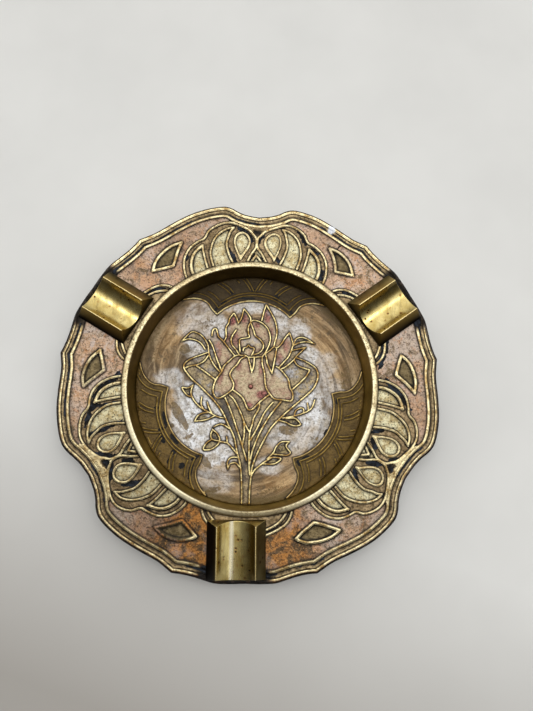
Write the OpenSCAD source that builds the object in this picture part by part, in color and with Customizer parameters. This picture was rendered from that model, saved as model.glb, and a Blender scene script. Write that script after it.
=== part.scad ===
// Round cast brass dish for burning incense: a shaped and ribbed rim plate,
// a turned cup caught through it, a relief disc on the cup's floor and three
// trough rests around the rim. +Z is up, the origin is under the cup's middle.

/* [Rim plate] */
// Width of the rim from the cup's lip to its widest lobes
rim_w = 25.1; // [22:0.1:30]
// Height of the rim's raised lines above the table
rim_top_z = 13.5; // [12.5:0.1:20]
// Thickness of the rim plate under its raised lines
plate_t = 2.8; // [2:0.1:4]
// Height of the raised lines above the rim's fields
line_h = 0.5; // [0.2:0.1:0.8]
// Width of the raised lines of the pattern
line_w = 0.65; // [0.4:0.05:0.9]
// Width of the broad ridge that follows the rim's edge
edge_ridge_w = 1; // [0.6:0.1:1.6]
// Width of the rounding along the rim's edge
edge_round_w = 0.5; // [0.3:0.1:1.2]
// Distance from the rim's edge to the inner border line
border_in = 3.8; // [3:0.1:5]
// Width of the inner border line
border_line_w = 0.8; // [0.5:0.1:1.2]

/* [Cup] */
// Inside radius of the cup at its lip
cup_mouth_r = 47.9; // [40:0.1:56]
// Difference between the cup's inside radius at its lip and at its foot
wall_draft = 1; // [0.4:0.1:2.5]
// Width of the bright lip, from the cup's mouth outwards
lip_w = 2.2; // [1.8:0.1:3.5]
// Thickness of the lip where it laps the rim plate
lip_t = 1.2; // [0.8:0.1:1.6]
// Height of the lip above the rim's raised lines
lip_proud = 0.4; // [0.1:0.1:1]
// Thickness of the cup's wall where it passes through the plate
neck_t = 1.3; // [0.8:0.1:1.6]
// Width of the shoulder under the rim plate, outside the neck
shoulder_w = 2; // [1:0.1:3]
// Height of the shoulder's upright edge
shoulder_t = 2; // [1:0.1:4]
// Thickness of the cup's wall at its foot
wall_t = 2; // [1.5:0.1:3]
// Thickness of the cup's floor
floor_t = 2.5; // [1.5:0.1:4]
// Distance from the inside of the wall's foot to the flat ground face
base_in = 2.9; // [1.5:0.1:12]

/* [Floor medallion] */
// Thickness of the relief disc under its raised lines
disc_t = 1.3; // [0.8:0.1:2.5]
// Height of the disc's raised lines
disc_line_h = 0.4; // [0.2:0.1:0.8]
// Width of the disc's raised lines
disc_line_w = 0.55; // [0.35:0.05:0.8]
// Turn of the disc's pattern against the rim's, in degrees
disc_turn = -1; // [-10:0.5:10]
// Radius of the rivet that holds the disc
rivet_r = 0.8; // [0.6:0.05:1.5]
// Height that the rivet's head stands above the disc
rivet_proud = 0.25; // [0.1:0.05:0.6]

/* [Rests] */
// Gap between the cup's lip and the foot of each rest's inner end
rest_gap = 1; // [0.4:0.1:2]
// Distance from each rest's outer end to the circle of the widest lobes
rest_edge_in = 4.1; // [3:0.1:6]
// Height of a rest's ridges above the rim's raised lines
rest_h = 5; // [4.5:0.1:8]
// Width of the trough between its two ridges
trough_w = 14.3; // [11:0.1:15]
// Thickness of a rest under the middle of its trough
trough_floor_t = 1.6; // [1.2:0.1:2]
// Width of a rest's sloping side, seen from above
side_slope_w = 3.4; // [2:0.1:4]
// Width of the sloping end that faces the cup, seen from above
end_slope_w = 1.8; // [1:0.1:2.4]
// Height of the upright foot below a rest's slopes
rest_foot_h = 0.8; // [0.4:0.1:1.5]
// Width of the flat on top of each ridge
ridge_flat_w = 0.4; // [0.2:0.1:0.8]
// Radius of the rivets that hold the rests
stud_r = 1.25; // [0.8:0.05:1.4]
// Depth of the blind hole in a rest for each rivet
stud_depth = 2.2; // [1.5:0.1:2.6]
// Distance from a rest's end to its nearer rivet
stud_end_in = 3.6; // [3:0.1:5]
// Distance from the ridge line inwards to the rivets
stud_side_in = 0.35; // [0:0.05:1]
// Radius of each rivet's head under the plate
stud_head_r = 2.2; // [1.8:0.1:3]
// Thickness of each rivet's head
stud_head_t = 0.8; // [0.5:0.1:1.2]

/* [Fits] */
// Clearance around each piece that is let into another
fit = 0.05; // [0.03:0.01:0.2]
// Open seam between the lip and the rim's pattern
seam = 0.15; // [0.05:0.05:0.4]
// Clearance between the disc and the foot of the cup's wall
disc_gap = 0.15; // [0.05:0.05:0.5]

/* [Hidden] */
$fn = 96;
eps = 0.01;

// Colours
brass = [0.62, 0.52, 0.30];
bright_brass = [0.80, 0.72, 0.48];
polished_brass = [0.72, 0.60, 0.24];
grey_brass = [0.52, 0.49, 0.42];
copper = [0.55, 0.33, 0.24];

// Heights
field_z = rim_top_z - line_h;
plate_z = field_z - plate_t;
lip_z = rim_top_z + lip_proud;
lip_under_z = rim_top_z - lip_t;
disc_top_z = floor_t + disc_t;
rest_top_z = rim_top_z + rest_h;

// Radii, from the cup outwards
cup_foot_r = cup_mouth_r - wall_draft;
foot_out_r = cup_foot_r + wall_t;
base_r = cup_foot_r - base_in;
disc_r = cup_foot_r - disc_gap;
neck_r = cup_mouth_r + neck_t;
shoulder_r = neck_r + shoulder_w;
lip_r = cup_mouth_r + lip_w;
rim_r = lip_r + rim_w;

// Small edges of the cup
lip_edge = 0.25;
base_edge = 0.6;
foot_round_w = 1;
foot_round_h = 1;

// Each rest runs from the lip's gap nearly to the rim's edge
rest_in_r = lip_r + rest_gap + end_slope_w;
rest_len = rim_r - rest_edge_in - rest_in_r;
rest_place_r = rest_in_r + rest_len / 2;

// The trough is an arc through both ridges and its own floor
trough_depth = rest_top_z - field_z - trough_floor_t;
trough_r = (trough_w * trough_w / 4 + trough_depth * trough_depth) / (2 * trough_depth);
ridge_half = trough_w / 2 + ridge_flat_w;
rest_half_w = ridge_half + side_slope_w;
stud_across = trough_w / 2 - stud_side_in;
stud_along = rest_len / 2 - stud_end_in;

// Where each rest sits around the rim, and how far it is turned off the radius
front_seat = [266.4, 4.5];
left_seat = [151.55, -1.5];
right_seat = [30.25, 5.8];
seats = [front_seat, left_seat, right_seat];

// The rim repeats every 120 degrees from the middle of its notches, and each
// repeat mirrors itself. It is drawn for a rim of drawn_rim_w and follows rim_w.
lobes = 3;
lobe_turn = 90;
drawn_rim_w = 25.1;
rim_scale = rim_w / drawn_rim_w;
// Half of one repeat of the rim's edge: degrees from the notch, inset from rim_r
notch_run = [[0, 5.4], [4, 4.6], [7, 3.1], [9, 1.6], [11, 0.5], [13, 0.05], [16, 0],
             [21, 0.3], [26, 1], [31, 1.6], [34, 1.6], [36.5, 1], [38.6, 0.3]];
shoulder_run = [[38.6, 0.3], [41, 1], [44, 1.3], [47, 1.1], [51, 0.5], [55, 0.7], [60, 1]];
run_steps = 2;

// Raised lines of one half repeat: degrees from the notch, distance from the
// lip. Lines that pass under the lip start at tuck.
tuck = -0.6;
loop_line = [[5, tuck], [2.6, 3.6], [0.2, 7.1], [0.2, 10.3], [1.9, 11.7], [3.1, 13.1], [6.2, 15],
             [9.4, 16.8], [12.5, 17.5], [15.6, 16.8], [18.1, 15.2], [19.4, 13.1], [20.3, 12.2]];
low_vee = [[3.6, tuck], [1.8, 1.9], [0, 3.9]];
wing_line = [[20.3, 12.2], [22.5, 12], [26.2, 10.4], [29.4, 7.8], [31.2, 5.3], [32.5, 2.5],
             [33.2, tuck]];
crescent_out = [[10.6, 14.9], [14.4, 14.1], [16.9, 11.7], [18.7, 8.3], [19.7, 4.8], [19.7, tuck]];
crescent_in = [[10.6, 14.9], [11.2, 13.1], [12.8, 10.8], [13.4, 8.3], [13.1, 4.8], [11.4, tuck]];
petal_out = [[22, 9.4], [25.6, 7.6], [27.8, 5.3], [29.4, 2.5], [29.6, tuck]];
petal_in = [[22, 9.4], [22.2, 6], [22.8, tuck]];
panel_out = [[27.9, 14.5], [34, 13.5], [38.5, 12.1], [41.4, 10.4]];
panel_side = [[41.4, 10.4], [38, 8.7], [34.6, 7.4]];
panel_in = [[34.6, 7.4], [31.5, 10.8], [27.9, 14.5]];
arc_out = [[39.6, tuck], [41.5, 2.2], [45, 4.6], [53, 6.9]];
arc_in = [[42, tuck], [44, 1.4], [48, 3.6], [55, 5.6]];
rim_lines = [loop_line, low_vee, wing_line, crescent_out, crescent_in, petal_out, petal_in,
             panel_out, panel_side, panel_in, arc_out, arc_in];
// Ring of the drop inside each loop
drop_out = [[6.6, 13.7], [10.3, 10.4], [10.9, 7.8], [9.7, 4.8], [7.3, 1.7], [4.4, 4.4],
            [2.5, 7.1], [2.5, 9.4], [3.8, 11.7]];
drop_in = [[6.6, 11.7], [8.6, 10.4], [9.1, 8.3], [7.5, 4.2], [4.2, 7.8], [4.6, 10.4]];

// Raised lines of the disc, drawn for a disc of drawn_disc_r, which follow disc_r
drawn_disc_r = 46.75;
disc_scale = disc_r / drawn_disc_r;
// Three fans against the cup's wall: degrees from the fan's middle, radius
fan_arcs = [[[-27.1, 33.6], [-20, 34.9], [-10, 36], [0, 36.4], [10, 36], [20, 34.9], [27.1, 33.6]],
            [[-24.5, 35.9], [-12, 38.1], [0, 38.7], [12, 38.1], [24.5, 35.9]],
            [[-21.3, 37.9], [-11, 39.4], [0, 39.9], [11, 39.4], [21.3, 37.9]]];
fan_sides = [[[27.1, 33.6], [28.6, 36.6], [29, 39.3], [31, 41.9], [35.1, 44.6], [39.9, 46.5]],
             [[24.5, 35.9], [25.6, 38.9], [27.4, 42], [30.6, 44.8], [33.5, 46.4]],
             [[22, 38.6], [23.6, 41.4], [26.1, 44.2]],
             [[0.6, 40.8], [2.4, 43.6], [4.6, 46.3]],
             [[13.1, 40.8], [15.2, 43.4], [18, 45.7]]];

// The flower, in millimetres from the disc's middle
iris = [
    // Hanging petals: left, middle, right
    [[-5, 12.9], [-7, 12.4], [-9.6, 10], [-11.4, 8], [-12.2, 5.6], [-14.2, 2.6], [-15.2, -0.6],
     [-15.1, -3.2], [-13.6, -5.2], [-11.2, -4.6], [-7.4, -1.6]],
    [[-7.4, -1.6], [-7, 0.6], [-8, 2.8], [-8.8, 4.7], [-7.8, 6.9], [-5.9, 9], [-4.6, 11.2], [-2.8, 12.3]],
    [[-7.4, -1.6], [-4.4, -3.6], [-2.6, -5.6], [-1, -9], [0.1, -9.6], [1.4, -9], [3.9, -6.3], [8, -2.8]],
    [[4.3, 12.6], [4.4, 9.6], [5.4, 6], [5.9, 1.6], [6.6, -0.8], [8, -2.8], [9.8, -4.6], [13, -5],
     [16.6, -5.4]],
    [[16.6, -5.4], [17.4, -4.2], [17.2, -1.8], [16.2, 0], [15.4, 3.4], [13.8, 5.6], [12.2, 7.3],
     [10.3, 8.7]],
    // Standing petals and the heart between them
    [[4.3, 12.6], [1, 12.2], [-1.6, 12.2], [-2.8, 12.9], [-5, 12.9], [-6.8, 15.2], [-8.6, 17.4],
     [-8.8, 20.2], [-7.1, 23.4]],
    [[-7, 12.4], [-9.4, 15.2], [-12, 18.3], [-14.3, 20.4]],
    [[-12, 18.3], [-11.1, 20.3], [-11.3, 24.2], [-10.3, 26.3], [-10, 28.2], [-8.3, 30.8]],
    [[-8.3, 30.8], [-7, 28.6], [-6.3, 26.4]],
    [[-6.3, 26.4], [-5.1, 28.6], [-4.2, 32.8]],
    [[-4.2, 32.8], [-2.6, 31], [-1.2, 28.8], [-1.1, 27], [0.3, 23.6], [1.1, 21.4], [3.2, 19.8],
     [4.5, 18], [4.4, 16], [3, 14.2], [0.8, 13.3]],
    [[-1.1, 27.4], [0.4, 28], [3.2, 27.2], [5.7, 25.2], [7, 22.6], [7.4, 20], [6.8, 17.3],
     [5.5, 14.4], [4.3, 12.6]],
    [[-1.1, 27], [-2, 25], [-1.8, 22.2], [-1.5, 20.6], [-5, 19.7], [-5.4, 18.2], [-5, 14.2]],
    [[-3.7, 14.7], [-3.5, 15.9], [-2.3, 16.4], [-1.6, 17.3], [-0.8, 16.4], [0.7, 16.1], [0.6, 14.8],
     [-0.2, 12.9]],
    [[5.4, 13.9], [7.3, 15.3], [8.9, 16.9], [10.4, 16.6], [12.2, 18.6], [13.4, 20.7], [15.3, 23.3]],
    [[8.9, 16.9], [9.3, 19], [9.9, 21.4], [10, 24.3], [9.3, 27.7], [8, 30.4], [5.2, 35]],
    [[5.2, 35], [4.3, 32], [3.5, 28]],
    [[-1.4, 12], [-0.8, 9.6], [0.2, 6.2]],
    [[0.2, 6.2], [0.9, 8.6], [1, 12]],
    // Narrow petals and curled leaves on the left
    [[-12.2, 6], [-14.2, 10.4], [-15.5, 13.7], [-16.7, 16.7], [-18, 18.7]],
    [[-17, 20.6], [-16.7, 23], [-15.4, 23.7], [-14.3, 20.4]],
    [[-13, 5.6], [-15.2, 8], [-16.9, 10.7], [-17.9, 13.6], [-18.5, 16.8], [-20.8, 20.1], [-23.3, 21.6],
     [-25.8, 21.7], [-29.2, 17.9]],
    [[-29.2, 17.9], [-26.7, 18.8], [-24.2, 18.6], [-21.5, 17.4], [-19.5, 14.8]],
    [[-18.4, 13.4], [-21.2, 12.2], [-24.5, 10.8], [-27.2, 8.9], [-27.8, 6.8], [-26.3, 4.5],
     [-23.7, 1.8], [-20.5, -0.8], [-17.2, -3.8], [-14.4, -6.5]],
    [[-18, 12.2], [-19.7, 9.7], [-22.2, 8.2], [-25, 7.6], [-27.2, 6.6]],
    [[-22.7, 7.7], [-19.3, 5.6], [-14.7, 2.3]],
    // Narrow petals and curled leaves on the right
    [[5.4, 13.9], [6.1, 12], [6.5, 9.8], [8.5, 5.9]],
    [[8.5, 5.9], [9.2, 9.8], [9.7, 13], [10.2, 16.4]],
    [[15.3, 23.3], [16.4, 20.4], [16.8, 17.8], [15.4, 13.4], [13.4, 10.8], [11.2, 8.2]],
    [[16.6, 15.8], [19.3, 16.5], [22.3, 17.3]],
    [[22.3, 17.3], [18.7, 13.6], [17.2, 11.6], [14.3, 8.9], [12, 7.6]],
    [[17, 17.8], [18.1, 20.6], [20.4, 21.5], [22.7, 20.9], [25.7, 19]],
    [[25.7, 19], [22.7, 19.7], [19.6, 19.2], [17.2, 18]],
    [[18, 12.9], [21, 11.9], [24, 10.5], [26.6, 8.6], [27.6, 6], [27.2, 3.1], [25.6, 0], [23.3, -2.4],
     [18.8, -6.5], [13.7, -11.2], [9.6, -15.6], [7.6, -18.8], [4.7, -24.6], [2.4, -30.4], [1.5, -35]],
    [[17.5, 11.7], [18.7, 9.8], [20.7, 8.8], [24.2, 7.8]],
    [[24.2, 7.8], [22.7, 5.1], [20.3, 2.5], [17.2, -0.5]],
    // Stems and long leaves
    [[-14.4, -6.5], [-11, -10.8], [-8.5, -15.6], [-5.9, -20.6], [-4.5, -26], [-2.8, -32], [-2, -39],
     [-1.7, -46]],
    [[-10.2, -5], [-7.4, -11], [-4.4, -18.6], [-2.2, -24.6], [-0.5, -29.7]],
    [[-8.3, -4], [-6.3, -6], [-3.7, -10.7], [-1.7, -15.3], [0.4, -18.7]],
    [[-2.2, -14.6], [-1.8, -19], [-2.3, -23.6]],
    [[3.8, -6.5], [3.8, -8.7], [1.8, -12.7], [1.2, -15.6], [0.4, -18.7], [0.3, -24], [0.6, -31],
     [1, -35]],
    [[9.2, -6.3], [6, -10.6], [3.4, -16.6], [0.8, -21.7]],
    [[12.6, -5.8], [8, -12], [4.4, -18.7], [1.9, -25.4], [0.8, -31]],
    [[9.6, -28.2], [5.9, -30.7], [2, -34.8], [1.3, -41], [1.3, -46]]];

function polar(a, r) = [r * cos(a), r * sin(a)];

// Catmull-Rom curve through the points p, with steps pieces between each pair
function spline_at(a, b, c, d, t) = 0.5 * (2 * b + (c - a) * t
    + (2 * a - 5 * b + 4 * c - d) * t * t + (3 * b - a - 3 * c + d) * t * t * t);
function spline(p, steps) = let (n = len(p)) concat(
    [for (i = [0 : n - 2], k = [0 : steps - 1])
        spline_at(p[max(i - 1, 0)], p[i], p[i + 1], p[min(i + 2, n - 1)], k / steps)],
    [p[n - 1]]);
function spline_closed(p, steps) = let (n = len(p))
    [for (i = [0 : n - 1], k = [0 : steps - 1])
        spline_at(p[(i + n - 1) % n], p[i], p[(i + 1) % n], p[(i + 2) % n], k / steps)];

// Unit normal of a run of points at point i
function along(p, i) = p[min(i + 1, len(p) - 1)] - p[max(i - 1, 0)];
function across(p, i) = let (d = along(p, i)) [-d[1], d[0]] / norm(d);

// Band of width w along a run of points
function band(p, w) = concat(
    [for (i = [0 : len(p) - 1]) p[i] + across(p, i) * w / 2],
    [for (i = [len(p) - 1 : -1 : 0]) p[i] - across(p, i) * w / 2]);

// Edge of the rim, moved inwards by inset
function half_edge() = let (a = spline(notch_run, run_steps), b = spline(shoulder_run, run_steps))
    concat(a, [for (i = [1 : len(b) - 2]) b[i]]);
function full_lobe() = let (h = half_edge(), m = shoulder_run[len(shoulder_run) - 1])
    concat(h, [m], [for (i = [len(h) - 1 : -1 : 1]) [360 / lobes - h[i][0], h[i][1]]]);
function rim_edge(inset) = [for (k = [0 : lobes - 1], q = full_lobe())
    polar(lobe_turn + k * 360 / lobes + q[0], rim_r - q[1] * rim_scale - inset)];

// A point of the rim's pattern: degrees from the notch, distance from the lip
function on_rim(q, side) = polar(q[0] * side, lip_r + q[1] * rim_scale);

// Ring between two insets of the rim's edge
module edge_ring(outer, inner) {
    difference() {
        polygon(rim_edge(outer));
        polygon(rim_edge(inner));
    }
}

// Puts its children at each of the rim's repeats
module at_lobes() {
    for (k = [0 : lobes - 1]) rotate(lobe_turn + k * 360 / lobes) children();
}

// Shells, panels and arcs of the rim's pattern
module rim_pattern() {
    at_lobes() for (side = [-1, 1]) {
        for (line = rim_lines)
            polygon(band([for (q = spline(line, run_steps)) on_rim(q, side)], line_w));
        difference() {
            polygon([for (q = spline_closed(drop_out, run_steps)) on_rim(q, side)]);
            polygon([for (q = spline_closed(drop_in, run_steps)) on_rim(q, side)]);
        }
    }
    edge_ring(edge_round_w, edge_round_w + edge_ridge_w);
    edge_ring(border_in, border_in + border_line_w);
}

// Puts its children at a rest's seat, X pointing away from the cup
module at_seat(seat) {
    rotate(seat[0]) translate([rest_place_r, 0]) rotate(seat[1]) children();
}

// Ground that a rest covers, carried on past the rim's edge
module rest_footprint(gap) {
    translate([-rest_len / 2 - end_slope_w - gap, -rest_half_w - gap])
        square([rest_len + end_slope_w + gap + 2 * rest_edge_in, 2 * (rest_half_w + gap)]);
}

module stud_places() {
    for (s = [-1, 1]) translate([s * stud_along, s * stud_across]) children();
}

module rim_plate() {
    color(brass) difference() {
        union() {
            translate([0, 0, plate_z]) linear_extrude(plate_t - edge_round_w / 2)
                polygon(rim_edge(0));
            translate([0, 0, plate_z]) linear_extrude(plate_t)
                polygon(rim_edge(edge_round_w / 2));
            translate([0, 0, field_z - eps]) linear_extrude(line_h + eps) difference() {
                rim_pattern();
                circle(lip_r + seam);
                for (seat = seats) at_seat(seat) rest_footprint(fit);
            }
        }
        translate([0, 0, plate_z - 1]) cylinder(r = neck_r + fit, h = plate_t + line_h + 2);
        translate([0, 0, lip_under_z - fit]) cylinder(r = lip_r + fit, h = line_h + lip_t + 1);
        for (seat = seats) at_seat(seat) stud_places()
            translate([0, 0, plate_z - 1]) cylinder(r = stud_r + fit, h = plate_t + 2, $fn = 32);
    }
}

// Turned in one: lip, neck, shoulder, tapering wall and flat base
module cup() {
    shoulder_z = plate_z - fit;
    color(bright_brass) difference() {
        rotate_extrude($fn = 144) polygon([
            [0, 0], [base_r - base_edge, 0], [base_r, base_edge],
            [foot_out_r - foot_round_w, floor_t - foot_round_h / 2],
            [foot_out_r, floor_t + foot_round_h],
            [shoulder_r, shoulder_z - shoulder_t], [shoulder_r, shoulder_z],
            [neck_r, shoulder_z], [neck_r, lip_under_z],
            [lip_r, lip_under_z], [lip_r, lip_z - lip_edge], [lip_r - lip_edge, lip_z],
            [cup_mouth_r + lip_edge, lip_z], [cup_mouth_r, lip_z - lip_edge],
            [cup_foot_r, floor_t], [0, floor_t]]);
        translate([0, 0, -1]) cylinder(r = rivet_r + fit, h = floor_t + 2, $fn = 32);
    }
}

// Fans and flower of the disc
module disc_pattern() {
    scale(disc_scale) {
        at_lobes() {
            for (line = fan_arcs)
                polygon(band([for (q = spline(line, run_steps)) polar(q[0], q[1])], disc_line_w));
            for (line = fan_sides, side = [-1, 1])
                polygon(band([for (q = line) polar(q[0] * side, q[1])], disc_line_w));
        }
        for (line = iris) polygon(band(line, disc_line_w));
    }
}

module floor_medallion() {
    color(grey_brass) difference() {
        union() {
            translate([0, 0, floor_t]) cylinder(r = disc_r, h = disc_t);
            translate([0, 0, disc_top_z - eps]) linear_extrude(disc_line_h + eps)
                rotate(disc_turn) intersection() {
                    disc_pattern();
                    circle(disc_r - fit);
                }
        }
        translate([0, 0, floor_t - 1]) cylinder(r = rivet_r + fit, h = disc_t + 3, $fn = 32);
    }
}

// Rivet through the disc and the cup's floor, flush with the base
module centre_rivet() {
    color(copper) cylinder(r = rivet_r, h = disc_top_z + rivet_proud, $fn = 32);
}

// Trough block with sloping sides and a sloping end towards the cup
module rest(seat) {
    foot_z = field_z + rest_foot_h;
    color(polished_brass) at_seat(seat) difference() {
        translate([rest_len / 2, 0, 0]) rotate([90, 0, -90])
            linear_extrude(rest_len + end_slope_w) polygon([
                [-rest_half_w, field_z], [rest_half_w, field_z], [rest_half_w, foot_z],
                [ridge_half, rest_top_z], [-ridge_half, rest_top_z], [-rest_half_w, foot_z]]);
        translate([-rest_len / 2, 0, 0]) rotate([90, 0, 0])
            translate([0, 0, -rest_half_w - 1]) linear_extrude(2 * rest_half_w + 2) polygon([
                [-end_slope_w, foot_z], [0, rest_top_z], [0, rest_top_z + 1],
                [-end_slope_w - 1, rest_top_z + 1], [-end_slope_w - 1, foot_z]]);
        translate([0, 0, rest_top_z - trough_depth + trough_r]) rotate([0, 90, 0])
            translate([0, 0, -rest_len]) cylinder(r = trough_r, h = 2 * rest_len);
        stud_places() translate([0, 0, field_z - 1])
            cylinder(r = stud_r + fit, h = stud_depth + 1, $fn = 32);
    }
}

module rest_front() { rest(front_seat); }
module rest_left() { rest(left_seat); }
module rest_right() { rest(right_seat); }

// Two rivets for each rest, headed under the plate
module rest_rivets() {
    color(brass) for (seat = seats) at_seat(seat) stud_places() {
        translate([0, 0, plate_z]) cylinder(r = stud_r, h = plate_t + stud_depth - fit, $fn = 32);
        translate([0, 0, plate_z - stud_head_t])
            cylinder(r = stud_head_r, h = stud_head_t, $fn = 32);
    }
}

rim_plate();
cup();
floor_medallion();
centre_rivet();
rest_front();
rest_left();
rest_right();
rest_rivets();
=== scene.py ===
"""Looks of a round cast brass incense dish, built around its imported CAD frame.

The rim plate and the floor disc are relief meshes: each raised line is drawn from a few
points, and heights and patina follow from the distance to those lines. The cup is a lathe
shape and the three rests are bevelled blocks. Lengths are in millimetres and become metres
where a mesh is made.
"""
import math

import bmesh
import bpy
import numpy as np
from mathutils import Matrix, Vector, kdtree, noise
from mathutils.geometry import delaunay_2d_cdt


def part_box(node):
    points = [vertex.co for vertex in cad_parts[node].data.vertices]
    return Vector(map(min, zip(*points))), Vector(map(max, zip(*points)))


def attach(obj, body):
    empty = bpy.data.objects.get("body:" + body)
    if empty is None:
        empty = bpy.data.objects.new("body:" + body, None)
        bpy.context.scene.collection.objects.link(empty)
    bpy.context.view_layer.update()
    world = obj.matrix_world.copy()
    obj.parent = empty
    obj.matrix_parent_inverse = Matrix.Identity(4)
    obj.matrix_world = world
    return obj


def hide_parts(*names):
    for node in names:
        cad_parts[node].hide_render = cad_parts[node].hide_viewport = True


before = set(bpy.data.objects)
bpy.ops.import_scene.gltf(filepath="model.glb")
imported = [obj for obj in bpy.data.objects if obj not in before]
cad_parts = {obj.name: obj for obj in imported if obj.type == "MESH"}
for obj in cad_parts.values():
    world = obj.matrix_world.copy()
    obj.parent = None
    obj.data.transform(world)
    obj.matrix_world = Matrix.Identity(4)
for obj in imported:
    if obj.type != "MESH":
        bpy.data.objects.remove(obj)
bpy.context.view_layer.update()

MM = 0.001
SEED = 7
rng = np.random.default_rng(SEED)


def box_mm(node):
    """Lowest and highest corner of a CAD node, in millimetres."""
    low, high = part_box(node)
    return np.array(low) / MM, np.array(high) / MM


# ---------------------------------------------------------------- sizes, as in the part
RIM_TOP = box_mm("rim_plate")[1][2]
PLATE_Z = box_mm("rim_plate")[0][2]
LINE_H = 0.5
FIELD_Z = RIM_TOP - LINE_H
MOUTH_R = 47.9
FOOT_R = 46.9
LIP_R = 50.1
LIP_Z = box_mm("cup")[1][2]
LIP_T = 1.2
NECK_R = 49.2
SHOULDER_R = box_mm("cup")[1][0]
SHOULDER_T = 2.0
WALL_FOOT_R = 48.9
CUP_FLOOR_Z = 2.5
BASE_R = 44.0
RIM_R = LIP_R + 25.1
DISC_R = box_mm("floor_medallion")[1][0]
DISC_LINE_H = 0.4
DISC_TOP = box_mm("floor_medallion")[1][2] - DISC_LINE_H
DISC_TURN = -1.0
RIVET_R = 0.8
REST_TOP = box_mm("rest_front")[1][2]
REST_PLACE_R = 62.0
REST_LEN = 18.2
TROUGH_HALF = 6.85
RIDGE_HALF = 7.25
REST_HALF = 10.95
END_SLOPE = 1.8
OUTER_SLOPE = 1.0
REST_FOOT = 0.8
TROUGH_FLOOR = 1.6
STUD_ACROSS = 6.8
STUD_ALONG = 5.5
STUD_HEAD_R = 2.2
STUD_HEAD_T = 0.8
SEATS = {"front": (266.4, 4.5), "left": (151.55, -1.5), "right": (30.25, 5.8)}
LOBES = 3
LOBE_TURN = 90.0
HOLE_R = 0.85
HOLE_EXTRA = 0.25
BORE_R = LIP_R + 0.05
LIP_EDGE = 0.3
FOOT_ROUND = 0.5
WALL_BULGE = 0.08
BROKEN_EDGE = 0.16
BEVEL_OVER = 22
STUD_DOME_R = 4.0
STUD_R = 1.2
CUP_SEGMENTS, RIVET_SEGMENTS, STUD_SEGMENTS = 288, 48, 32

# ---------------------------------------------------------------- how fine the meshes are
TINY = 1e-9
WELD = 1e-6
CUT_CLOSE = 1e-7
DELAUNAY_GAP = 1e-5
DISTANCE_STEP = 0.08
EDGE_STEPS = 8
OUTLINE_STEP = 0.45
BORE_COUNT = 480
EDGE_COUNT = 600
HOLE_COUNT = 24
# Gap between points along a line, least gap between any two, and gap of the filler
RIM_ROW_STEP, RIM_APART, RIM_FILL = 0.4, 0.11, 0.7
DISC_ROW_STEP, DISC_APART, DISC_FILL = 0.36, 0.1, 0.75
DROP_ROWS = [0, 0.12, 0.3, 0.6]
# The filler's row rise and shake, as shares of its gap, and how far it keeps from lines
ROW_RISE, SHAKE, FILL_AWAY = 0.866, 0.12, 0.4
# Keeps the triangles along a round hole, whose sides cut slightly into its circle
INNER_EASE = 0.9995
FLAT_WEIGHT = 60
# A distance that stands for no line nearby
FAR = 9.0
# Share of the UV map's square that hidden faces take, and how far up those face at most
BAKE_CORNER, HIDDEN_BELOW = 0.13, 0.02

# ---------------------------------------------------------------- rim pattern
# Half of one repeat of the rim's edge: degrees from the notch, inset from RIM_R
NOTCH_RUN = [(0, 5.4), (4, 4.6), (7, 3.1), (9, 1.6), (11, 0.5), (13, 0.05), (16, 0), (21, 0.3),
    (26, 1), (31, 1.6), (34, 1.6), (36.5, 1), (38.6, 0.3)]
SHOULDER_RUN = [(38.6, 0.3), (41, 1), (44, 1.3), (47, 1.1), (51, 0.5), (55, 0.7), (60, 1)]
# Raised lines of half a repeat: degrees from the notch, distance from the lip
TUCK = -0.6
LOOP = [(4.8, TUCK), (2.5, 3.1), (0.35, 6.2), (0.3, 9.8), (1.6, 11.6), (3.1, 13.4), (6.2, 15.4),
    (9.4, 17), (12.5, 17.6), (15.6, 16.8), (18.1, 15.2), (19.4, 13.2), (20.3, 12.4)]
LOW_VEE = [(2.9, TUCK), (1.5, 1.1), (0, 2.9)]
WING = [(20.3, 12.4), (22.5, 12.1), (26.2, 10.8), (29.4, 8.2), (31.2, 5.5), (32.5, 2.6),
    (33.2, TUCK)]
CRESCENT_OUT = [(9.6, 15.1), (12.2, 14.9), (14.8, 13.5), (16.9, 11.4), (18.7, 8.1), (19.7, 4.8),
    (19.8, TUCK)]
CRESCENT_IN = [(9.6, 15.1), (11.3, 13.3), (12.7, 10.8), (13.5, 8), (13.2, 3.6), (12, TUCK)]
PETAL_OUT = [(21.4, 10.1), (25.2, 8.3), (27.6, 5.8), (29.2, 2.7), (29.7, TUCK)]
PETAL_IN = [(21.4, 10.1), (22.1, 6), (22.7, TUCK)]
PANEL_OUT = [(28, 14.4), (31.5, 14.9), (35, 14.4), (38.6, 12.9), (41.8, 10.4)]
PANEL_SIDE = [(41.8, 10.4), (38.4, 8.7), (34.8, 7.3)]
PANEL_IN = [(34.8, 7.3), (31.4, 11), (28, 14.4)]
ARC_OUT = [(39.6, TUCK), (41.5, 2.2), (45, 4.6), (53, 6.9)]
ARC_IN = [(42, TUCK), (44, 1.4), (48, 3.6), (55, 5.6)]
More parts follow.
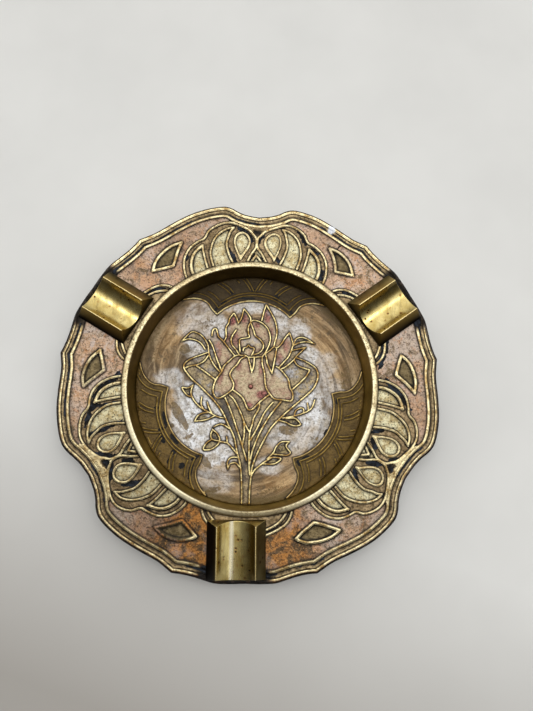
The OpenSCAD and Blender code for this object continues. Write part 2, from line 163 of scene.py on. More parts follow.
# Flat raised web between border and loops, and the small sunk triangle in its middle
JUNCTION = [(0, 15.6), (4, 16.4), (7, 17.9), (9.4, 19), (10.4, 18.4), (9.4, 17), (6.2, 15.4),
    (3.1, 13.4), (1.2, 11.2), (0, 10.2)]
SUNK = [(0, 13.4), (2.1, 13.4), (1.3, 12), (0, 10.2)]
RIM_LINES = [LOOP, LOW_VEE, WING, CRESCENT_OUT, CRESCENT_IN, PETAL_IN, ARC_OUT, ARC_IN]
PANEL_LINES = [PANEL_OUT, PANEL_SIDE, PANEL_IN]
WIDE_LINES = [PETAL_OUT, *PANEL_LINES]
DROP_OUT = [(6.5, 13.1), (8.6, 12.3), (10, 10.4), (10.4, 8.3), (10.1, 6), (9.2, 3.4), (8, 0.9),
    (6.2, 2.6), (4.2, 4.8), (2.9, 7), (2.6, 8.9), (3.2, 11), (4.6, 12.5)]
DROP_IN = [(6.5, 12), (8.1, 11.3), (9.2, 9.6), (9.4, 7.8), (8.9, 5.6), (8, 3.7), (7.3, 3.3),
    (6.2, 4.3), (4.6, 6.1), (3.7, 7.8), (3.6, 9.4), (4.3, 10.9), (5.3, 11.8)]
# Widths of the lines on top and at their foot, and what the wider ones have more on each side
RIM_LINE_TOP = 0.56
RIM_LINE_FOOT = 0.92
WIDE_EXTRA = 0.14
# How the hand-cut repeats differ: degrees that the lines move away from the notch, for each
# half (side, repeat), at these degrees from the notch; inner for the loops, outer for the edge
DRIFT_AT = [0, 6.6, 12.5, 20, 33, 38.6, 60]
DRIFT_INNER = {(1, 0): [-1.1, -1.6, -2.6, -1, -0.7, 0.2, 0],
    (-1, 0): [1.1, 1.8, 0, 0.6, 1.2, 0, 0], (1, 1): [0, 0, 0, 0, 0, 0, 0],
    (-1, 1): [0, -0.3, -1, 0.8, -0.8, -0.5, 0], (1, 2): [0.3, 0.3, -0.6, 0.4, 0, 0.2, 0],
    (-1, 2): [-0.3, -0.3, -1.9, -0.3, -1.2, 0.8, 0]}
DRIFT_OUTER = {(1, 0): [-1.5, -1.7, -2.6, -1, -0.4, 0.2, 0], (-1, 0): [1.5, 1.2, 0.3, 0, 0, 0, 0],
    (1, 1): [1.1, 1.2, 0.6, 0, 0, 0, 0], (-1, 1): [-1.1, -1.2, -0.8, 0, 0, -0.5, 0],
    (1, 2): [-0.4, 0.6, 0.6, 0, 0, 0.2, 0], (-1, 2): [0.4, 0.4, 0, 0, 0.4, 0.8, 0]}
DRIFT_FROM, DRIFT_TO = 12.0, 20.0
# Radial hand variation in mm: azimuth, shift of the edge and shift of the loops' outer lines
SWELL = [(0, 0.1, 0.3), (22, 0.5, 1.2), (55, 0.3, 0.6), (72, 0.35, 0.7), (90, 0, 0.4),
    (106, 0.4, 0.5), (126, 0.2, 0.4), (150, 0.1, 0.2), (172, 0.5, 0), (190, 0.1, 0.1),
    (210, 0.2, -0.2), (232, -0.1, -1.1), (250, 0.2, -0.3), (268, -0.8, 0), (285, -0.7, -0.1),
    (310, 0, -0.2), (330, -0.2, 0.2), (345, 0.1, 0.3), (360, 0.1, 0.3)]
# Border of the rim: distance from the edge, height (0 field, 1 raised line)
BORDER_PROFILE = [(0, -1.3), (0.12, -0.5), (0.28, 0.3), (0.45, 0.85), (0.7, 1), (1.3, 1),
    (1.5, 0.55), (1.75, 0.1), (2.05, 0.2), (2.25, 0.4), (2.45, 0.2), (3.0, 0.15), (3.4, 0.05),
    (3.65, 0.1), (3.85, 0.9), (4.0, 1), (4.5, 1), (4.7, 0.85), (4.95, 0.05), (5.4, 0)]
# Shine and soot by distance from the edge: the outer part, and from the second line inward
EDGE_BRIGHT = [(0, 0), (0.5, 0), (0.66, 0.75), (1.1, 0.85)]
EDGE_BRIGHT_END = [(1.4, 1), (1.6, 0.35), (1.7, 0)]
INNER_BRIGHT = [(1.9, 0), (2.05, 0.2), (2.25, 0.42), (2.5, 0.36), (2.7, 0.2), (3.5, 0),
    (3.82, 0.9), (4.4, 1), (4.65, 0.6), (4.85, 0)]
EDGE_SOOT = [(0, 1), (0.5, 1), (0.66, 0)]
INNER_SOOT = [(1.48, 0), (1.6, 1), (1.95, 1), (2.1, 0), (2.7, 0), (3.0, 0.6), (3.1, 1), (3.72, 1),
    (3.86, 0), (4.6, 0), (4.75, 1), (5.15, 1), (5.5, 0)]
# Between these distances north of the axis the web goes duller and the border darker, the
# border's dark edge painted wider as painted shade
FAR_WEB, BORDER_SHADE_SPAN = (50, 58), (45, 10)
# Width of the slope inside a drop's ring, depth of stippled cells and of the loops' ground, and
# shine of the web
RING_RISE = 0.26
CELL_SINK, SHELL_SINK = 0.14, 0.1
WEB_BRIGHT = 0.55
# White chip in the border: azimuth, radius, half width, half height
CHIP = (63.8, 72.6, 1.6, 1.9)
# Remains of blue-black lacquer: azimuth, radius, half length, half width, turn from the rim
LACQUER = [(93.2, 62.8, 3.6, 0.9, -50), (99.5, 53.3, 3.1, 0.75, -70), (137.3, 54, 3.6, 0.9, -35),
    (87, 61, 2, 0.6, 65), (72.2, 65, 2.6, 0.9, -45), (65.7, 61.2, 1.6, 0.5, -25),
    (58.5, 53.2, 1.9, 0.7, -60), (44.2, 54.4, 2.6, 0.8, 28), (79, 52.5, 1, 0.6, -70),
    (118.5, 58.2, 1.6, 0.6, 50), (91.5, 67.1, 3.6, 0.7, -10), (111.8, 71, 0.4, 1, 0),
    (66.6, 71.2, 1.1, 0.8, 20), (60.4, 72.2, 1.6, 0.8, 0), (51.5, 72.4, 0.9, 0.7, 0),
    (58.7, 67.4, 0.9, 0.4, 80), (214, 63.2, 3.2, 1, -42), (221.5, 58, 3.4, 0.7, 62),
    (213.6, 54.6, 1.9, 0.8, 55), (209.7, 61, 1.3, 1.2, 0), (207.4, 62, 3, 1, 62),
    (198.4, 59, 5.5, 0.65, -84), (192.8, 63.4, 2.6, 0.7, -28), (187.5, 60.3, 3, 0.9, -28),
    (189.4, 56, 4, 0.55, -88), (181, 55.4, 4.6, 1, -48), (173, 71.8, 4.2, 0.6, 12),
    (254.5, 70.2, 3.4, 0.6, 6), (210, 66.5, 5, 0.5, 0), (357.5, 58.2, 5.2, 0.9, 42),
    (333.2, 62.6, 2, 0.55, -55), (335.4, 53, 1.8, 0.8, 35), (328.4, 56.6, 2.5, 0.8, -62),
    (320, 53.6, 1.8, 0.7, 58), (340.5, 52.2, 2.6, 0.55, -60), (14.3, 54.4, 4.6, 1, -30),
    (333, 66.9, 4.6, 0.6, -12), (22, 72, 1.6, 1.1, 0), (277, 71, 1.8, 0.9, 0),
    (138, 71.6, 4.6, 0.7, 5), (330, 64, 1, 0.7, 0), (130, 71, 2, 0.5, -10)]
# Black lacquer left in the border's groove: azimuth, spread in degrees, strength
GROOVE_INK = [(127, 17, 1), (176, 17, 1), (150, 6, 0.8), (52, 14, 0.9), (213, 9, 0.7),
    (337, 8, 0.7), (290, 6, 0.6), (93, 6, 0.9), (20, 5, 0.7), (256, 5, 0.5)]
# Panel outlines that have gone dull, in the same way
PANEL_DULL = [(242, 9, 0.85), (178, 8, 0.5), (123, 9, 0.25), (58, 9, 0.45), (3, 9, 0.2),
    (299, 9, 0.1)]
# General darkening and warmer, rustier copper: azimuth, spread in degrees, strength
TARNISH = [(112, 13, 0.2), (230, 18, 0.5), (206, 16, 0.25), (251, 9, 0.25), (352, 18, 0.12),
    (318, 14, 0.16), (284, 10, 0.1)]
RUST = [(136, 5, 0.55), (252, 17, 1.0), (281, 14, 0.95), (240, 10, 0.6), (120, 9, 0.45),
    (350, 8, 0.35), (62, 9, 0.3)]

# ---------------------------------------------------------------- floor pattern
# Raised lines of a fan (degrees from its middle, radius): its arcs, and one side's lines
FAN_ARCS = [
    [(-27.1, 33.6), (-20, 34.9), (-10, 36), (0, 36.4), (10, 36), (20, 34.9), (27.1, 33.6)],
    [(-24.5, 35.9), (-12, 38.1), (0, 38.7), (12, 38.1), (24.5, 35.9)],
    [(-21.3, 37.9), (-11, 39.4), (0, 39.9), (11, 39.4), (21.3, 37.9)]]
FAN_SIDES = [
    [(27.1, 33.6), (28.6, 36.6), (29, 39.3), (31, 41.9), (35.1, 44.6), (39.9, 46.5)],
    [(24.5, 35.9), (25.6, 38.9), (27.4, 42), (30.6, 44.8), (33.5, 46.4)],
    [(22, 38.6), (23.6, 41.4), (26.1, 44.2)],
    [(0.6, 40.8), (2.4, 43.6), (4.6, 46.3)],
    [(2.5, 41.2), (4.4, 43.8), (6.6, 46.2)],
    [(12.6, 40.7), (14.6, 43.4), (17.4, 45.8)],
    [(14.6, 40.4), (16.8, 43), (19.6, 45.4)],
    [(8.6, 44.8), (9.4, 45.8)]]
# The flower, in millimetres from the disc's middle
IRIS_PETALS = [
    [(-5, 12.9), (-7, 12.4), (-9.6, 10), (-11.4, 8), (-12.2, 5.6), (-14.2, 2.6), (-15.2, -0.6),
     (-15.1, -3.2), (-13.6, -5.2), (-11.2, -4.6), (-7.4, -1.6)],
    [(-7.4, -1.6), (-7, 0.6), (-8, 2.8), (-8.8, 4.7), (-7.8, 6.9), (-5.9, 9), (-4.6, 11.2),
     (-2.8, 12.3)],
    [(-7.4, -1.6), (-4.4, -3.6), (-2.6, -5.6), (-1, -9), (0.1, -9.6), (1.4, -9), (3.9, -6.3),
     (8, -2.8)],
    [(4.3, 12.6), (4.4, 9.6), (5.4, 6), (5.9, 1.6), (6.6, -0.8), (8, -2.8), (9.8, -4.6), (13, -5),
     (16.6, -5.4)],
    [(16.6, -5.4), (17.4, -4.2), (17.2, -1.8), (16.2, 0), (15.4, 3.4), (13.8, 5.6), (12.2, 7.3),
     (10.3, 8.7)],
    [(4.3, 12.6), (1, 12.2), (-1.6, 12.2), (-2.8, 12.9), (-5, 12.9), (-6.8, 15.2), (-8.6, 17.4),
     (-8.8, 20.2), (-7.1, 23.4)],
    [(-7, 12.4), (-9.4, 15.2), (-12, 18.3), (-14.3, 20.4)],
    [(-12, 18.3), (-11.1, 20.3), (-11.3, 24.2), (-10.3, 26.3), (-10, 28.2), (-8.3, 30.8)],
    [(-8.3, 30.8), (-7, 28.6), (-6.3, 26.4)],
    [(-6.3, 26.4), (-5.1, 28.6), (-4.2, 32.8)],
    [(-4.2, 32.8), (-2.6, 31), (-1.2, 28.8), (-1.1, 27), (0.3, 23.6), (1.1, 21.4), (3.2, 19.8),
     (4.5, 18), (4.4, 16), (3, 14.2), (0.8, 13.3)],
    [(-1.1, 27.4), (0.4, 28), (3.2, 27.2), (5.7, 25.2), (7, 22.6), (7.4, 20), (6.8, 17.3),
     (5.5, 14.4), (4.3, 12.6)],
    [(-1.1, 27), (-2, 25), (-1.8, 22.2), (-1.5, 20.6), (-5, 19.7), (-5.4, 18.2), (-5, 14.2)],
    [(-3.7, 14.7), (-3.5, 15.9), (-2.3, 16.4), (-1.6, 17.3), (-0.8, 16.4), (0.7, 16.1),
     (0.6, 14.8), (-0.2, 12.9)],
    [(5.4, 13.9), (7.3, 15.3), (8.9, 16.9), (10.4, 16.6), (12.2, 18.6), (13.4, 20.7), (15.3, 23.3)],
    [(8.9, 16.9), (9.3, 19), (9.9, 21.4), (10, 24.3), (9.3, 27.7), (8, 30.4), (5.2, 35)],
    [(5.2, 35), (4.3, 32), (3.5, 28)],
    [(-1.4, 12), (-0.8, 9.6), (0.2, 6.2)],
    [(0.2, 6.2), (0.9, 8.6), (1, 12)]]
IRIS_LEAVES = [
    [(-12.2, 6), (-14.2, 10.4), (-15.5, 13.7), (-16.7, 16.7), (-18, 18.7)],
    [(-17, 20.6), (-16.7, 23), (-15.4, 23.7), (-14.3, 20.4)],
    [(-13, 5.6), (-15.2, 8), (-16.9, 10.7), (-17.9, 13.6), (-18.5, 16.8), (-20.8, 20.1),
     (-23.3, 21.6), (-25.8, 21.7), (-29.2, 17.9)],
    [(-29.2, 17.9), (-26.7, 18.8), (-24.2, 18.6), (-21.5, 17.4), (-19.5, 14.8)],
    [(-18.4, 13.4), (-21.2, 12.2), (-24.5, 10.8), (-27.2, 8.9), (-27.8, 6.8), (-26.3, 4.5),
     (-23.7, 1.8), (-20.5, -0.8), (-17.2, -3.8), (-14.4, -6.5)],
    [(-18, 12.2), (-19.7, 9.7), (-22.2, 8.2), (-25, 7.6), (-27.2, 6.6)],
    [(-22.7, 7.7), (-19.3, 5.6), (-14.7, 2.3)],
    [(5.4, 13.9), (6.1, 12), (6.5, 9.8), (8.5, 5.9)],
    [(8.5, 5.9), (9.2, 9.8), (9.7, 13), (10.2, 16.4)],
    [(15.3, 23.3), (16.4, 20.4), (16.8, 17.8), (15.4, 13.4), (13.4, 10.8), (11.2, 8.2)],
    [(16.6, 15.8), (19.3, 16.5), (22.3, 17.3)],
    [(22.3, 17.3), (18.7, 13.6), (17.2, 11.6), (14.3, 8.9), (12, 7.6)],
    [(17, 17.8), (18.1, 20.6), (20.4, 21.5), (22.7, 20.9), (25.7, 19)],
    [(25.7, 19), (22.7, 19.7), (19.6, 19.2), (17.2, 18)],
    [(18, 12.9), (21, 11.9), (24, 10.5), (26.6, 8.6), (27.6, 6), (27.2, 3.1), (25.6, 0),
     (23.3, -2.4), (18.8, -6.5), (13.7, -11.2), (9.6, -15.6), (7.6, -18.8), (4.7, -24.6),
     (2.4, -30.4), (1.5, -35)],
    [(17.5, 11.7), (18.7, 9.8), (20.7, 8.8), (24.2, 7.8)],
    [(24.2, 7.8), (22.7, 5.1), (20.3, 2.5), (17.2, -0.5)]]
IRIS_STEMS = [
    [(-14.4, -6.5), (-11, -10.8), (-8.5, -15.6), (-5.9, -20.6), (-4.5, -26), (-2.8, -32), (-2, -39),
     (-1.7, -46)],
    [(-10.2, -5), (-7.4, -11), (-4.4, -18.6), (-2.2, -24.6), (-0.5, -29.7)],
    [(-8.3, -4), (-6.3, -6), (-3.7, -10.7), (-1.7, -15.3), (0.4, -18.7)],
    [(-2.2, -14.6), (-1.8, -19), (-2.3, -23.6)],
    [(3.8, -6.5), (3.8, -8.7), (1.8, -12.7), (1.2, -15.6), (0.4, -18.7), (0.3, -24), (0.6, -31),
     (1, -35)],
    [(9.2, -6.3), (6, -10.6), (3.4, -16.6), (0.8, -21.7)],
    [(12.6, -5.8), (8, -12), (4.4, -18.7), (1.9, -25.4), (0.8, -31)],
    [(9.6, -28.2), (5.9, -30.7), (2, -34.8), (1.3, -41), (1.3, -46)]]
IRIS_SPRIGS = [
    [(-10.6, -13.2), (-13.4, -12.6), (-18.3, -10.2), (-20.7, -8.7), (-23, -6.2), (-24.2, -3.4),
     (-23.6, -0.4)],
    [(-23.6, -0.4), (-25.6, -1.6), (-28, -1.6), (-25.6, -4.6), (-23.6, -5)],
    [(-18.6, -10), (-19.8, -8), (-19.7, -5.2)],
    [(-15.3, -11.4), (-16.6, -9.2), (-17.3, -7.2)],
    [(-14.2, -12.6), (-16.5, -13.8), (-18.8, -14.5), (-22, -15)],
    [(-22, -15), (-20.9, -12.8), (-18.8, -11.5), (-16, -11.2)],
    [(-7.2, -17.8), (-10.2, -16), (-12, -15.8), (-14, -16.8)],
    [(-14.6, -18), (-12.6, -19.6), (-11.6, -22.2), (-14.6, -21.8), (-15.2, -20), (-14.6, -18.2)],
    [(-14.6, -21.8), (-16.8, -23.5), (-17.8, -26), (-14.8, -25.8), (-12.3, -24), (-11.6, -22.4)],
    [(-11.6, -22.6), (-8.4, -23.2), (-6.2, -25.2), (-4.6, -27)],
    [(-8.8, -20.6), (-8.4, -23.2)],
    [(-3.9, -28.6), (-6.7, -28.8), (-8, -30.7), (-7.7, -33.1)],
    [(-7.7, -33.1), (-7, -31.3), (-4.8, -30.8), (-3, -32.4)],
    [(7.8, -28.8), (10.2, -26.2), (11.2, -24), (13.2, -22), (16.4, -21.7)],
    [(16.4, -21.7), (15.2, -23.6), (17, -26), (15.6, -27.1), (13, -27), (9.6, -26.8)],
    [(8.2, -28.6), (10, -28.1), (13.3, -28.5), (11.4, -30.3), (9.4, -30.8), (6.2, -30.8)],
    [(12, -13.4), (14.7, -14), (17, -15), (19.3, -15.3), (21, -14.7)],
    [(21, -14.7), (19.7, -13.1), (18.1, -12.2), (15, -12.5)],
    [(13.4, -12.4), (18, -11.4), (21.3, -10.3), (23.7, -9.2), (25.4, -7.6), (26.4, -4.6)],
    [(18.2, -11.2), (18.8, -9.2), (20.6, -8), (21.9, -8.4), (22, -10)],
    [(24, -9), (23.4, -6)]]
# Areas inside the flower: petals, and the dark leaves and stems
PETAL_AREAS = [
    [(-5, 12.9), (-9.6, 10), (-12.2, 5.6), (-15.2, -0.6), (-13.6, -5.2), (-7.4, -1.6), (-4.4, -3.6),
     (-1, -9), (1.4, -9), (3.9, -6.3), (8, -2.8), (9.8, -4.6), (16.6, -5.4), (17.2, -1.8),
     (15.4, 3.4), (10.3, 8.7), (8.5, 6.5), (6.5, 9.8), (4.3, 12.6)],
    [(-7, 12.4), (-12, 18.3), (-11.3, 24.2), (-8.3, 30.8), (-6.3, 26.4), (-4.2, 32.8), (-1.1, 27.4),
     (3.2, 27.2), (5.2, 35), (9.3, 27.7), (9.9, 21.4), (8.9, 16.9), (5.4, 13.9)],
    [(-12.2, 6), (-15.5, 13.7), (-17, 20.6), (-15.4, 23.7), (-12, 18.3), (-7, 12.4)],
    [(8.5, 5.9), (10.2, 16.4), (15.3, 23.3), (16.8, 17.8), (12, 8)]]
LEAF_AREAS = [
    [(-18.4, 13.4), (-24.5, 10.8), (-27.8, 6.8), (-20.5, -0.8), (-14.4, -6.5), (-15.2, -0.6),
     (-12.2, 5.6)],
    [(18, 12.9), (24, 10.5), (27.6, 6), (25.6, 0), (18.8, -6.5), (17.4, -4.2), (15.4, 3.4),
     (12, 7.6)],
    [(-14.4, -6.5), (-11.2, -4.6), (-4.4, -3.6), (-1, -9), (3.9, -6.3), (9.8, -4.6), (18.8, -6.5),
     (9.6, -15.6), (4.7, -24.6), (1.5, -35), (1.3, -46), (-1.7, -46), (-2.8, -32), (-5.9, -20.6)],
    [(-13, 5.6), (-16.9, 10.7), (-18.5, 16.8), (-23.3, 21.6), (-29.2, 17.9), (-24.2, 18.6),
     (-19.5, 14.8), (-16.7, 16.7), (-12.2, 6)],
    [(12, 7.6), (16.8, 17.8), (20.4, 21.5), (25.7, 19), (19.6, 19.2), (22.3, 17.3), (17.2, 11.6)]]
# Small leaves that are dark inside, the first three as drawn above
DARK_LEAVES = [
    IRIS_SPRIGS[8], IRIS_SPRIGS[1], IRIS_SPRIGS[7][:-1],
    [(-16.5, -13.8), (-18.8, -14.5), (-22, -15), (-20.9, -12.8), (-18.8, -11.5)],
    [(14.7, -14), (17, -15), (21, -14.7), (19.7, -13.1), (18.1, -12.2)],
    [(10.6, -26.4), (13.2, -22.6), (15.4, -22), (16.4, -26), (13, -26.8)],
    [(8.6, -29), (12.6, -28.8), (11.2, -30.1), (8, -30.5)]]
# Stains on the floor, in mm from its middle: x, y, half width, half height, strength
BLOOM = [(-22, -4, 8, 6, 1), (-20, -17, 11, 9, 1), (-27, -14, 5, 8, 0.8), (-12, -27, 8, 5, 0.9),
    (-12, -38, 8, 6, 0.4), (24, -7, 7, 9, 0.95), (17, -20, 11, 7, 0.6), (28, -15, 6, 9, 0.6),
    (9, -31, 5, 4, 0.6), (-22, 15, 7, 5, 0.8), (-22, 27, 9, 8, 0.5), (-14, 24, 4, 5, 0.8),
    (0, 33.5, 15, 3, 0.7), (12, 27, 4, 7, 0.7), (19, 23, 6, 6, 0.7), (23, 13, 5, 5, 0.8),
    (15, 7.5, 6, 4, 1), (-18, 8, 5, 3, 0.5), (-33, 2, 6, 4, 0.6), (34, -2, 5, 8, 0.5),
    (0, 19, 4, 3, 1), (30, 9, 6, 6, 0.45), (-6, -20, 3, 6, 0.7), (6, -14, 4, 6, 0.6)]
# Brown spots; a sixth figure is the turn in degrees
BROWN = [(-28.4, -12.6, 6.4, 1.7, 0.95, -58), (-28, 14.5, 2.4, 2.4, 0.8), (-31, -17, 1.2, 1, 0.7),
    (15.5, -17, 4.2, 2.6, 0.7, 20), (-17.3, -30.3, 3.6, 1.3, 0.9, -45),
    (-13, -41.5, 3.4, 1.2, 0.7, 10), (-40, 17, 3, 9, 0.4), (34, 29, 7, 3, 0.4, -40),
    (39, 5, 3, 7, 0.5), (-24, -21, 2.4, 1, 0.6, 30), (-21, 2, 2, 1, 0.6, 40),
    (10, -41, 6, 1.6, 0.5, 20), (27, -21, 2.4, 0.9, 0.5, 60), (20, 30, 5, 1.4, 0.5, -40),
    (-20, 26, 5, 3, 0.45, 20)]
# Worn golden patches on the floor's lobes
GOLDEN = [(-31, 22, 9, 4, 0.9, 55), (-25, 31, 8, 3, 0.7, 35), (-36, 12, 4, 5, 0.6, 20),
    (31, 19, 9, 4, 0.7, -60), (24, 32, 7, 2.4, 0.6, -35), (11, -38, 7, 4, 0.8, 15),
    (-9, -36, 4, 3, 0.4), (37, 8, 3, 5, 0.5)]
# Dark grey strokes between the stems
STEM_DARK = [(-9.4, -11, 8.4, 0.9, 0.9, -66), (-5, -23, 6.5, 0.8, 0.9, -80),
    (1.6, -25.6, 3.4, 0.6, 0.8, -84), (4.4, -15.6, 4, 0.6, 0.6, 62), (-1.2, -34, 5, 0.7, 0.7, 88),
    (9.4, -13, 3, 0.6, 0.5, 52), (-23, 8.5, 3, 0.6, 0.6, -50), (24.4, 5, 3, 0.6, 0.6, 60),
    (-16, 12.5, 2.6, 0.5, 0.6, 70)]
# Rosy patches of the petals
BLUSH = [(5, -3, 2.6, 2, 1), (-0.5, -7.6, 1.8, 1.4, 0.9), (-6.5, 0.5, 1.2, 3, 0.7),
    (-5.4, 8, 1.6, 2.4, 0.7), (4, 8, 1.2, 3.4, 0.7), (-12.8, 4, 1.6, 3.6, 0.7),
    (-9, 27.5, 1.6, 2.4, 1), (-4, 29, 1.4, 2, 0.9), (5.8, 30, 1.4, 3, 0.9), (7.6, 23, 1.2, 3, 0.7),
    (1.6, 26, 1.4, 1.6, 0.8), (-7, 19.5, 1.2, 3, 0.7), (-14.4, 14, 1.8, 4, 0.7),
    (14, 18, 2, 3.4, 0.7), (11.4, 12, 1.2, 3, 0.7), (-10.4, 20.5, 1.2, 2, 0.8),
    (15.6, -4.4, 1.6, 0.9, 0.7), (9, 4, 1, 3, 0.3)]
# Black remains in the grooves round the fans
BLACK = [(-34.6, -22, 2.2, 0.9, 1, 118), (-26, -32.6, 1.4, 1.2, 1, 60),
    (31.4, -17.4, 1.6, 0.9, 1, 60), (12.6, 36, 1.2, 0.9, 1, -40), (-12.8, 35.4, 1.6, 0.8, 1, 50),
    (9.4, 38.3, 1.8, 1.2, 1, 60), (0, 40.6, 1.2, 1.2, 1, 0), (-9.6, 39.8, 0.9, 0.9, 1, 0),
    (-3, 37.4, 4, 0.5, 1, 0), (-15.6, 32.4, 1.6, 0.7, 1, 60), (15.8, 32, 1.2, 0.7, 1, -60),
    (-34, -14.5, 3.6, 0.8, 1, 106), (-29.6, -22.2, 2.6, 1, 1, 130), (-29.6, -27.2, 1.6, 1, 1, 60),
    (-35, -18.4, 1.6, 0.7, 1, 20), (-37.6, -10, 1.2, 0.6, 1, 0), (-22.4, -34.4, 3.4, 0.8, 1, 78),
    (-21, -29.4, 2, 0.7, 1, 30), (20.6, -30, 1.4, 0.8, 1, -60), (23, -28, 2, 0.8, 1, 30),
    (35.8, -4.6, 1.4, 0.9, 1, 80), (33.6, -12, 4, 0.5, 1, 78), (-31.4, -31, 1.2, 0.6, 1, 70)]
# Widths of the floor's lines on top and at their foot, and of the dirt beside any line
DISC_LINE_TOP = 0.38
DISC_LINE_FOOT = 0.7
SOOT_W = 0.68
SEAM_R = 45.6
# The fans: their middle arc's first point in its curve, what closes their area outside the
# disc, and the sunk line between the arcs (radius in the middle, drop to the side, half width)
FAN_MIDDLE = 18
FAN_BEYOND = [(39.9, 50), (0, 50)]
FAN_MOAT_R, FAN_SAG, FAN_HALF = 37.55, 2.8, 27.1

# ---------------------------------------------------------------- patina of cup and rests
# Soft patches round the cup, all painted light: shade on the south lip and the far wall,
# highlights on the west and east lip; azimuth, degrees from it where none is left and where
# all is
CUP_SIDES = [("south", 270, 40, 10), ("far", 128, 95, 45), ("clean_west", 222, 46, 18),
    ("clean_east", 316, 40, 12)]
# Painted shade and dark reflection on the rests: which side of each rest is the darker one
# (1 is to the left, looking out from the cup), how dark that side's slope is, how dark the
# slopes are at their top already, and how dark the trough's flank and the inner end are
SHADED_SIDE = {"front": 1, "left": -1, "right": 1}
SLOPE_SHADE_STRENGTH = {"front": 0.9, "left": 0.9, "right": 0.85}
SLOPE_SHADE_AT_TOP = {"front": 0.75, "left": 0, "right": 0}
FLANK_SHADE_STRENGTH = {"front": 1, "left": 0.85, "right": 0.95}
MITRE_SHADE_STRENGTH = {"front": 0.35, "left": 0.92, "right": 0.9}
# Where the front rest's painted highlight streak runs, across the trough
HIGHLIGHT_STREAK_AT = -1.7
# A face whose normal leans this far to the cup belongs to the inner end's slope
FACES_CUP = -0.4
TARNISH_TINT = (0.38, 0.33, 0.27, 1)
# Length scale of the floor's streaks, as a share of that across them
BRUSH_LONG = 0.3

# ---------------------------------------------------------------- view and light
# The camera's focal length in pixels of the 533 x 711 image, the image point and the scale
# (pixels per mm) where the axis meets the rim's top, and its turns about X, Y and Z
IMAGE_W, IMAGE_H = 533, 711
FOCAL_PX = 493.0
AXIS_U, AXIS_V = 250.2, 383.2
AXIS_SCALE = 2.56
TURN_X, TURN_Y, TURN_Z = -0.180545, 0.030048, -0.018354
SENSOR_MM = 36.0
# Sky: bright overhead and to the north, dim on the side where the viewer stands
SKY_BRIGHT = 1.0
SKY_NORTH = 0.06
SKY_DIM = 0.14
BACKGROUND = 0.72
DIM_SIDE = (-0.1, -0.995, 0.0)
DIM_FROM, DIM_TO = 0.04, 0.17
FLOOR_SIZE = 1.6
# Painted shade: the floor darkens softly toward the viewer, between these distances in metres
FLOOR_SHADE_SPAN = (-0.04, -0.14)
FLOOR_SHADE_SLANT = 0.35
NEAREST_SEEN = 0.01
SKY_TINT = (1.0, 0.99, 0.97, 1)
# Lamps: name, place, size and power
LAMPS = [("window", (0.02, 0.15, 0.72), (0.66, 0.18), 1.15),
    ("streak", (0.27, -0.2, 0.53), (0.05, 0.3), 0.075)]


# ---------------------------------------------------------------- curves
def polar(degrees, radius_mm):
    a = np.radians(degrees)
    return np.stack([radius_mm * np.cos(a), radius_mm * np.sin(a)], -1)


def circle(radius_mm, count):
    return polar(np.linspace(0, 360, count, endpoint=False), radius_mm)


def radius(points):
    return np.hypot(points[:, 0], points[:, 1])


def bearing(points):
    """Azimuth of each point, from 0 to 360 degrees."""
    return np.degrees(np.arctan2(points[:, 1], points[:, 0])) % 360


def apart(azimuth, at):
    """Degrees from an azimuth to another, without a sign."""
    return np.abs((azimuth - at + 180) % 360 - 180)


def shut(line):
    return np.vstack([line, line[:1]])


def spline(points, steps=6, closed=False):
    """Catmull-Rom curve through the points."""
    p = np.array(points, float)
    if closed:
        before, after, beyond = np.roll(p, 1, 0), np.roll(p, -1, 0), np.roll(p, -2, 0)
    else:
        before = np.vstack([p[:1], p[:-2]])
        after = p[1:]
        beyond = np.vstack([p[2:], p[-1:]])
        p = p[:-1]
    t = (np.arange(steps) / steps)[None, :, None]
    a, b, c, d = before[:, None], p[:, None], after[:, None], beyond[:, None]
    curve = 0.5 * (2 * b + (c - a) * t + (2 * a - 5 * b + 4 * c - d) * t**2
                   + (3 * b - a - 3 * c + d) * t**3)
    curve = curve.reshape(-1, 2)
    return curve if closed else np.vstack([curve, after[-1:]])


def even(line, step, closed=False):
    """The same line with points evenly apart."""
    if closed:
        line = shut(line)
    run = np.concatenate([[0], np.cumsum(np.linalg.norm(np.diff(line, axis=0), axis=1))])
    count = max(2, int(round(run[-1] / step)) + 1)
    at = np.linspace(0, run[-1], count)
    found = np.stack([np.interp(at, run, line[:, k]) for k in (0, 1)], -1)
    return found[:-1] if closed else found


def normals(line, closed=False):
    d = np.roll(line, -1, 0) - np.roll(line, 1, 0) if closed else np.gradient(line, axis=0)
    d /= np.maximum(np.linalg.norm(d, axis=1, keepdims=True), TINY)
    return np.stack([-d[:, 1], d[:, 0]], -1)


def on_rim(points, side, lobe):
    """Points of half a repeat (degrees, distance from the lip) in the dish's plane, with the
    hand variation of that half."""
    p = np.array(points, float)
    share = np.clip((p[:, 1] - DRIFT_FROM) / (DRIFT_TO - DRIFT_FROM), 0, 1)
    inner = np.interp(p[:, 0], DRIFT_AT, DRIFT_INNER[side, lobe])
    outer = np.interp(p[:, 0], DRIFT_AT, DRIFT_OUTER[side, lobe])
    azimuth = LOBE_TURN + lobe * 360 / LOBES + side * (p[:, 0] + inner + (outer - inner) * share)
    at, edge, loops = zip(*SWELL)
    swell_edge = np.interp(azimuth % 360, at, edge)
    swell_loops = np.interp(azimuth % 360, at, loops) * np.clip(p[:, 1] / DRIFT_FROM, 0, 1)
    return polar(azimuth, LIP_R + p[:, 1] + swell_loops + (swell_edge - swell_loops) * share)


def halves():
    """Side and repeat of each half."""
    return [(side, lobe) for lobe in range(LOBES) for side in (1, -1)]


def everywhere(paths):
    """Curves through the given paths, in every half."""
    return [on_rim(spline(p), *half) for half in halves() for p in paths]


def in_halves(co, *runs):
    """Whether each point is inside an area that is repeated in every half."""
    area = np.vstack(runs)
    return np.any([inside(co, on_rim(area, *half)) for half in halves()], 0)


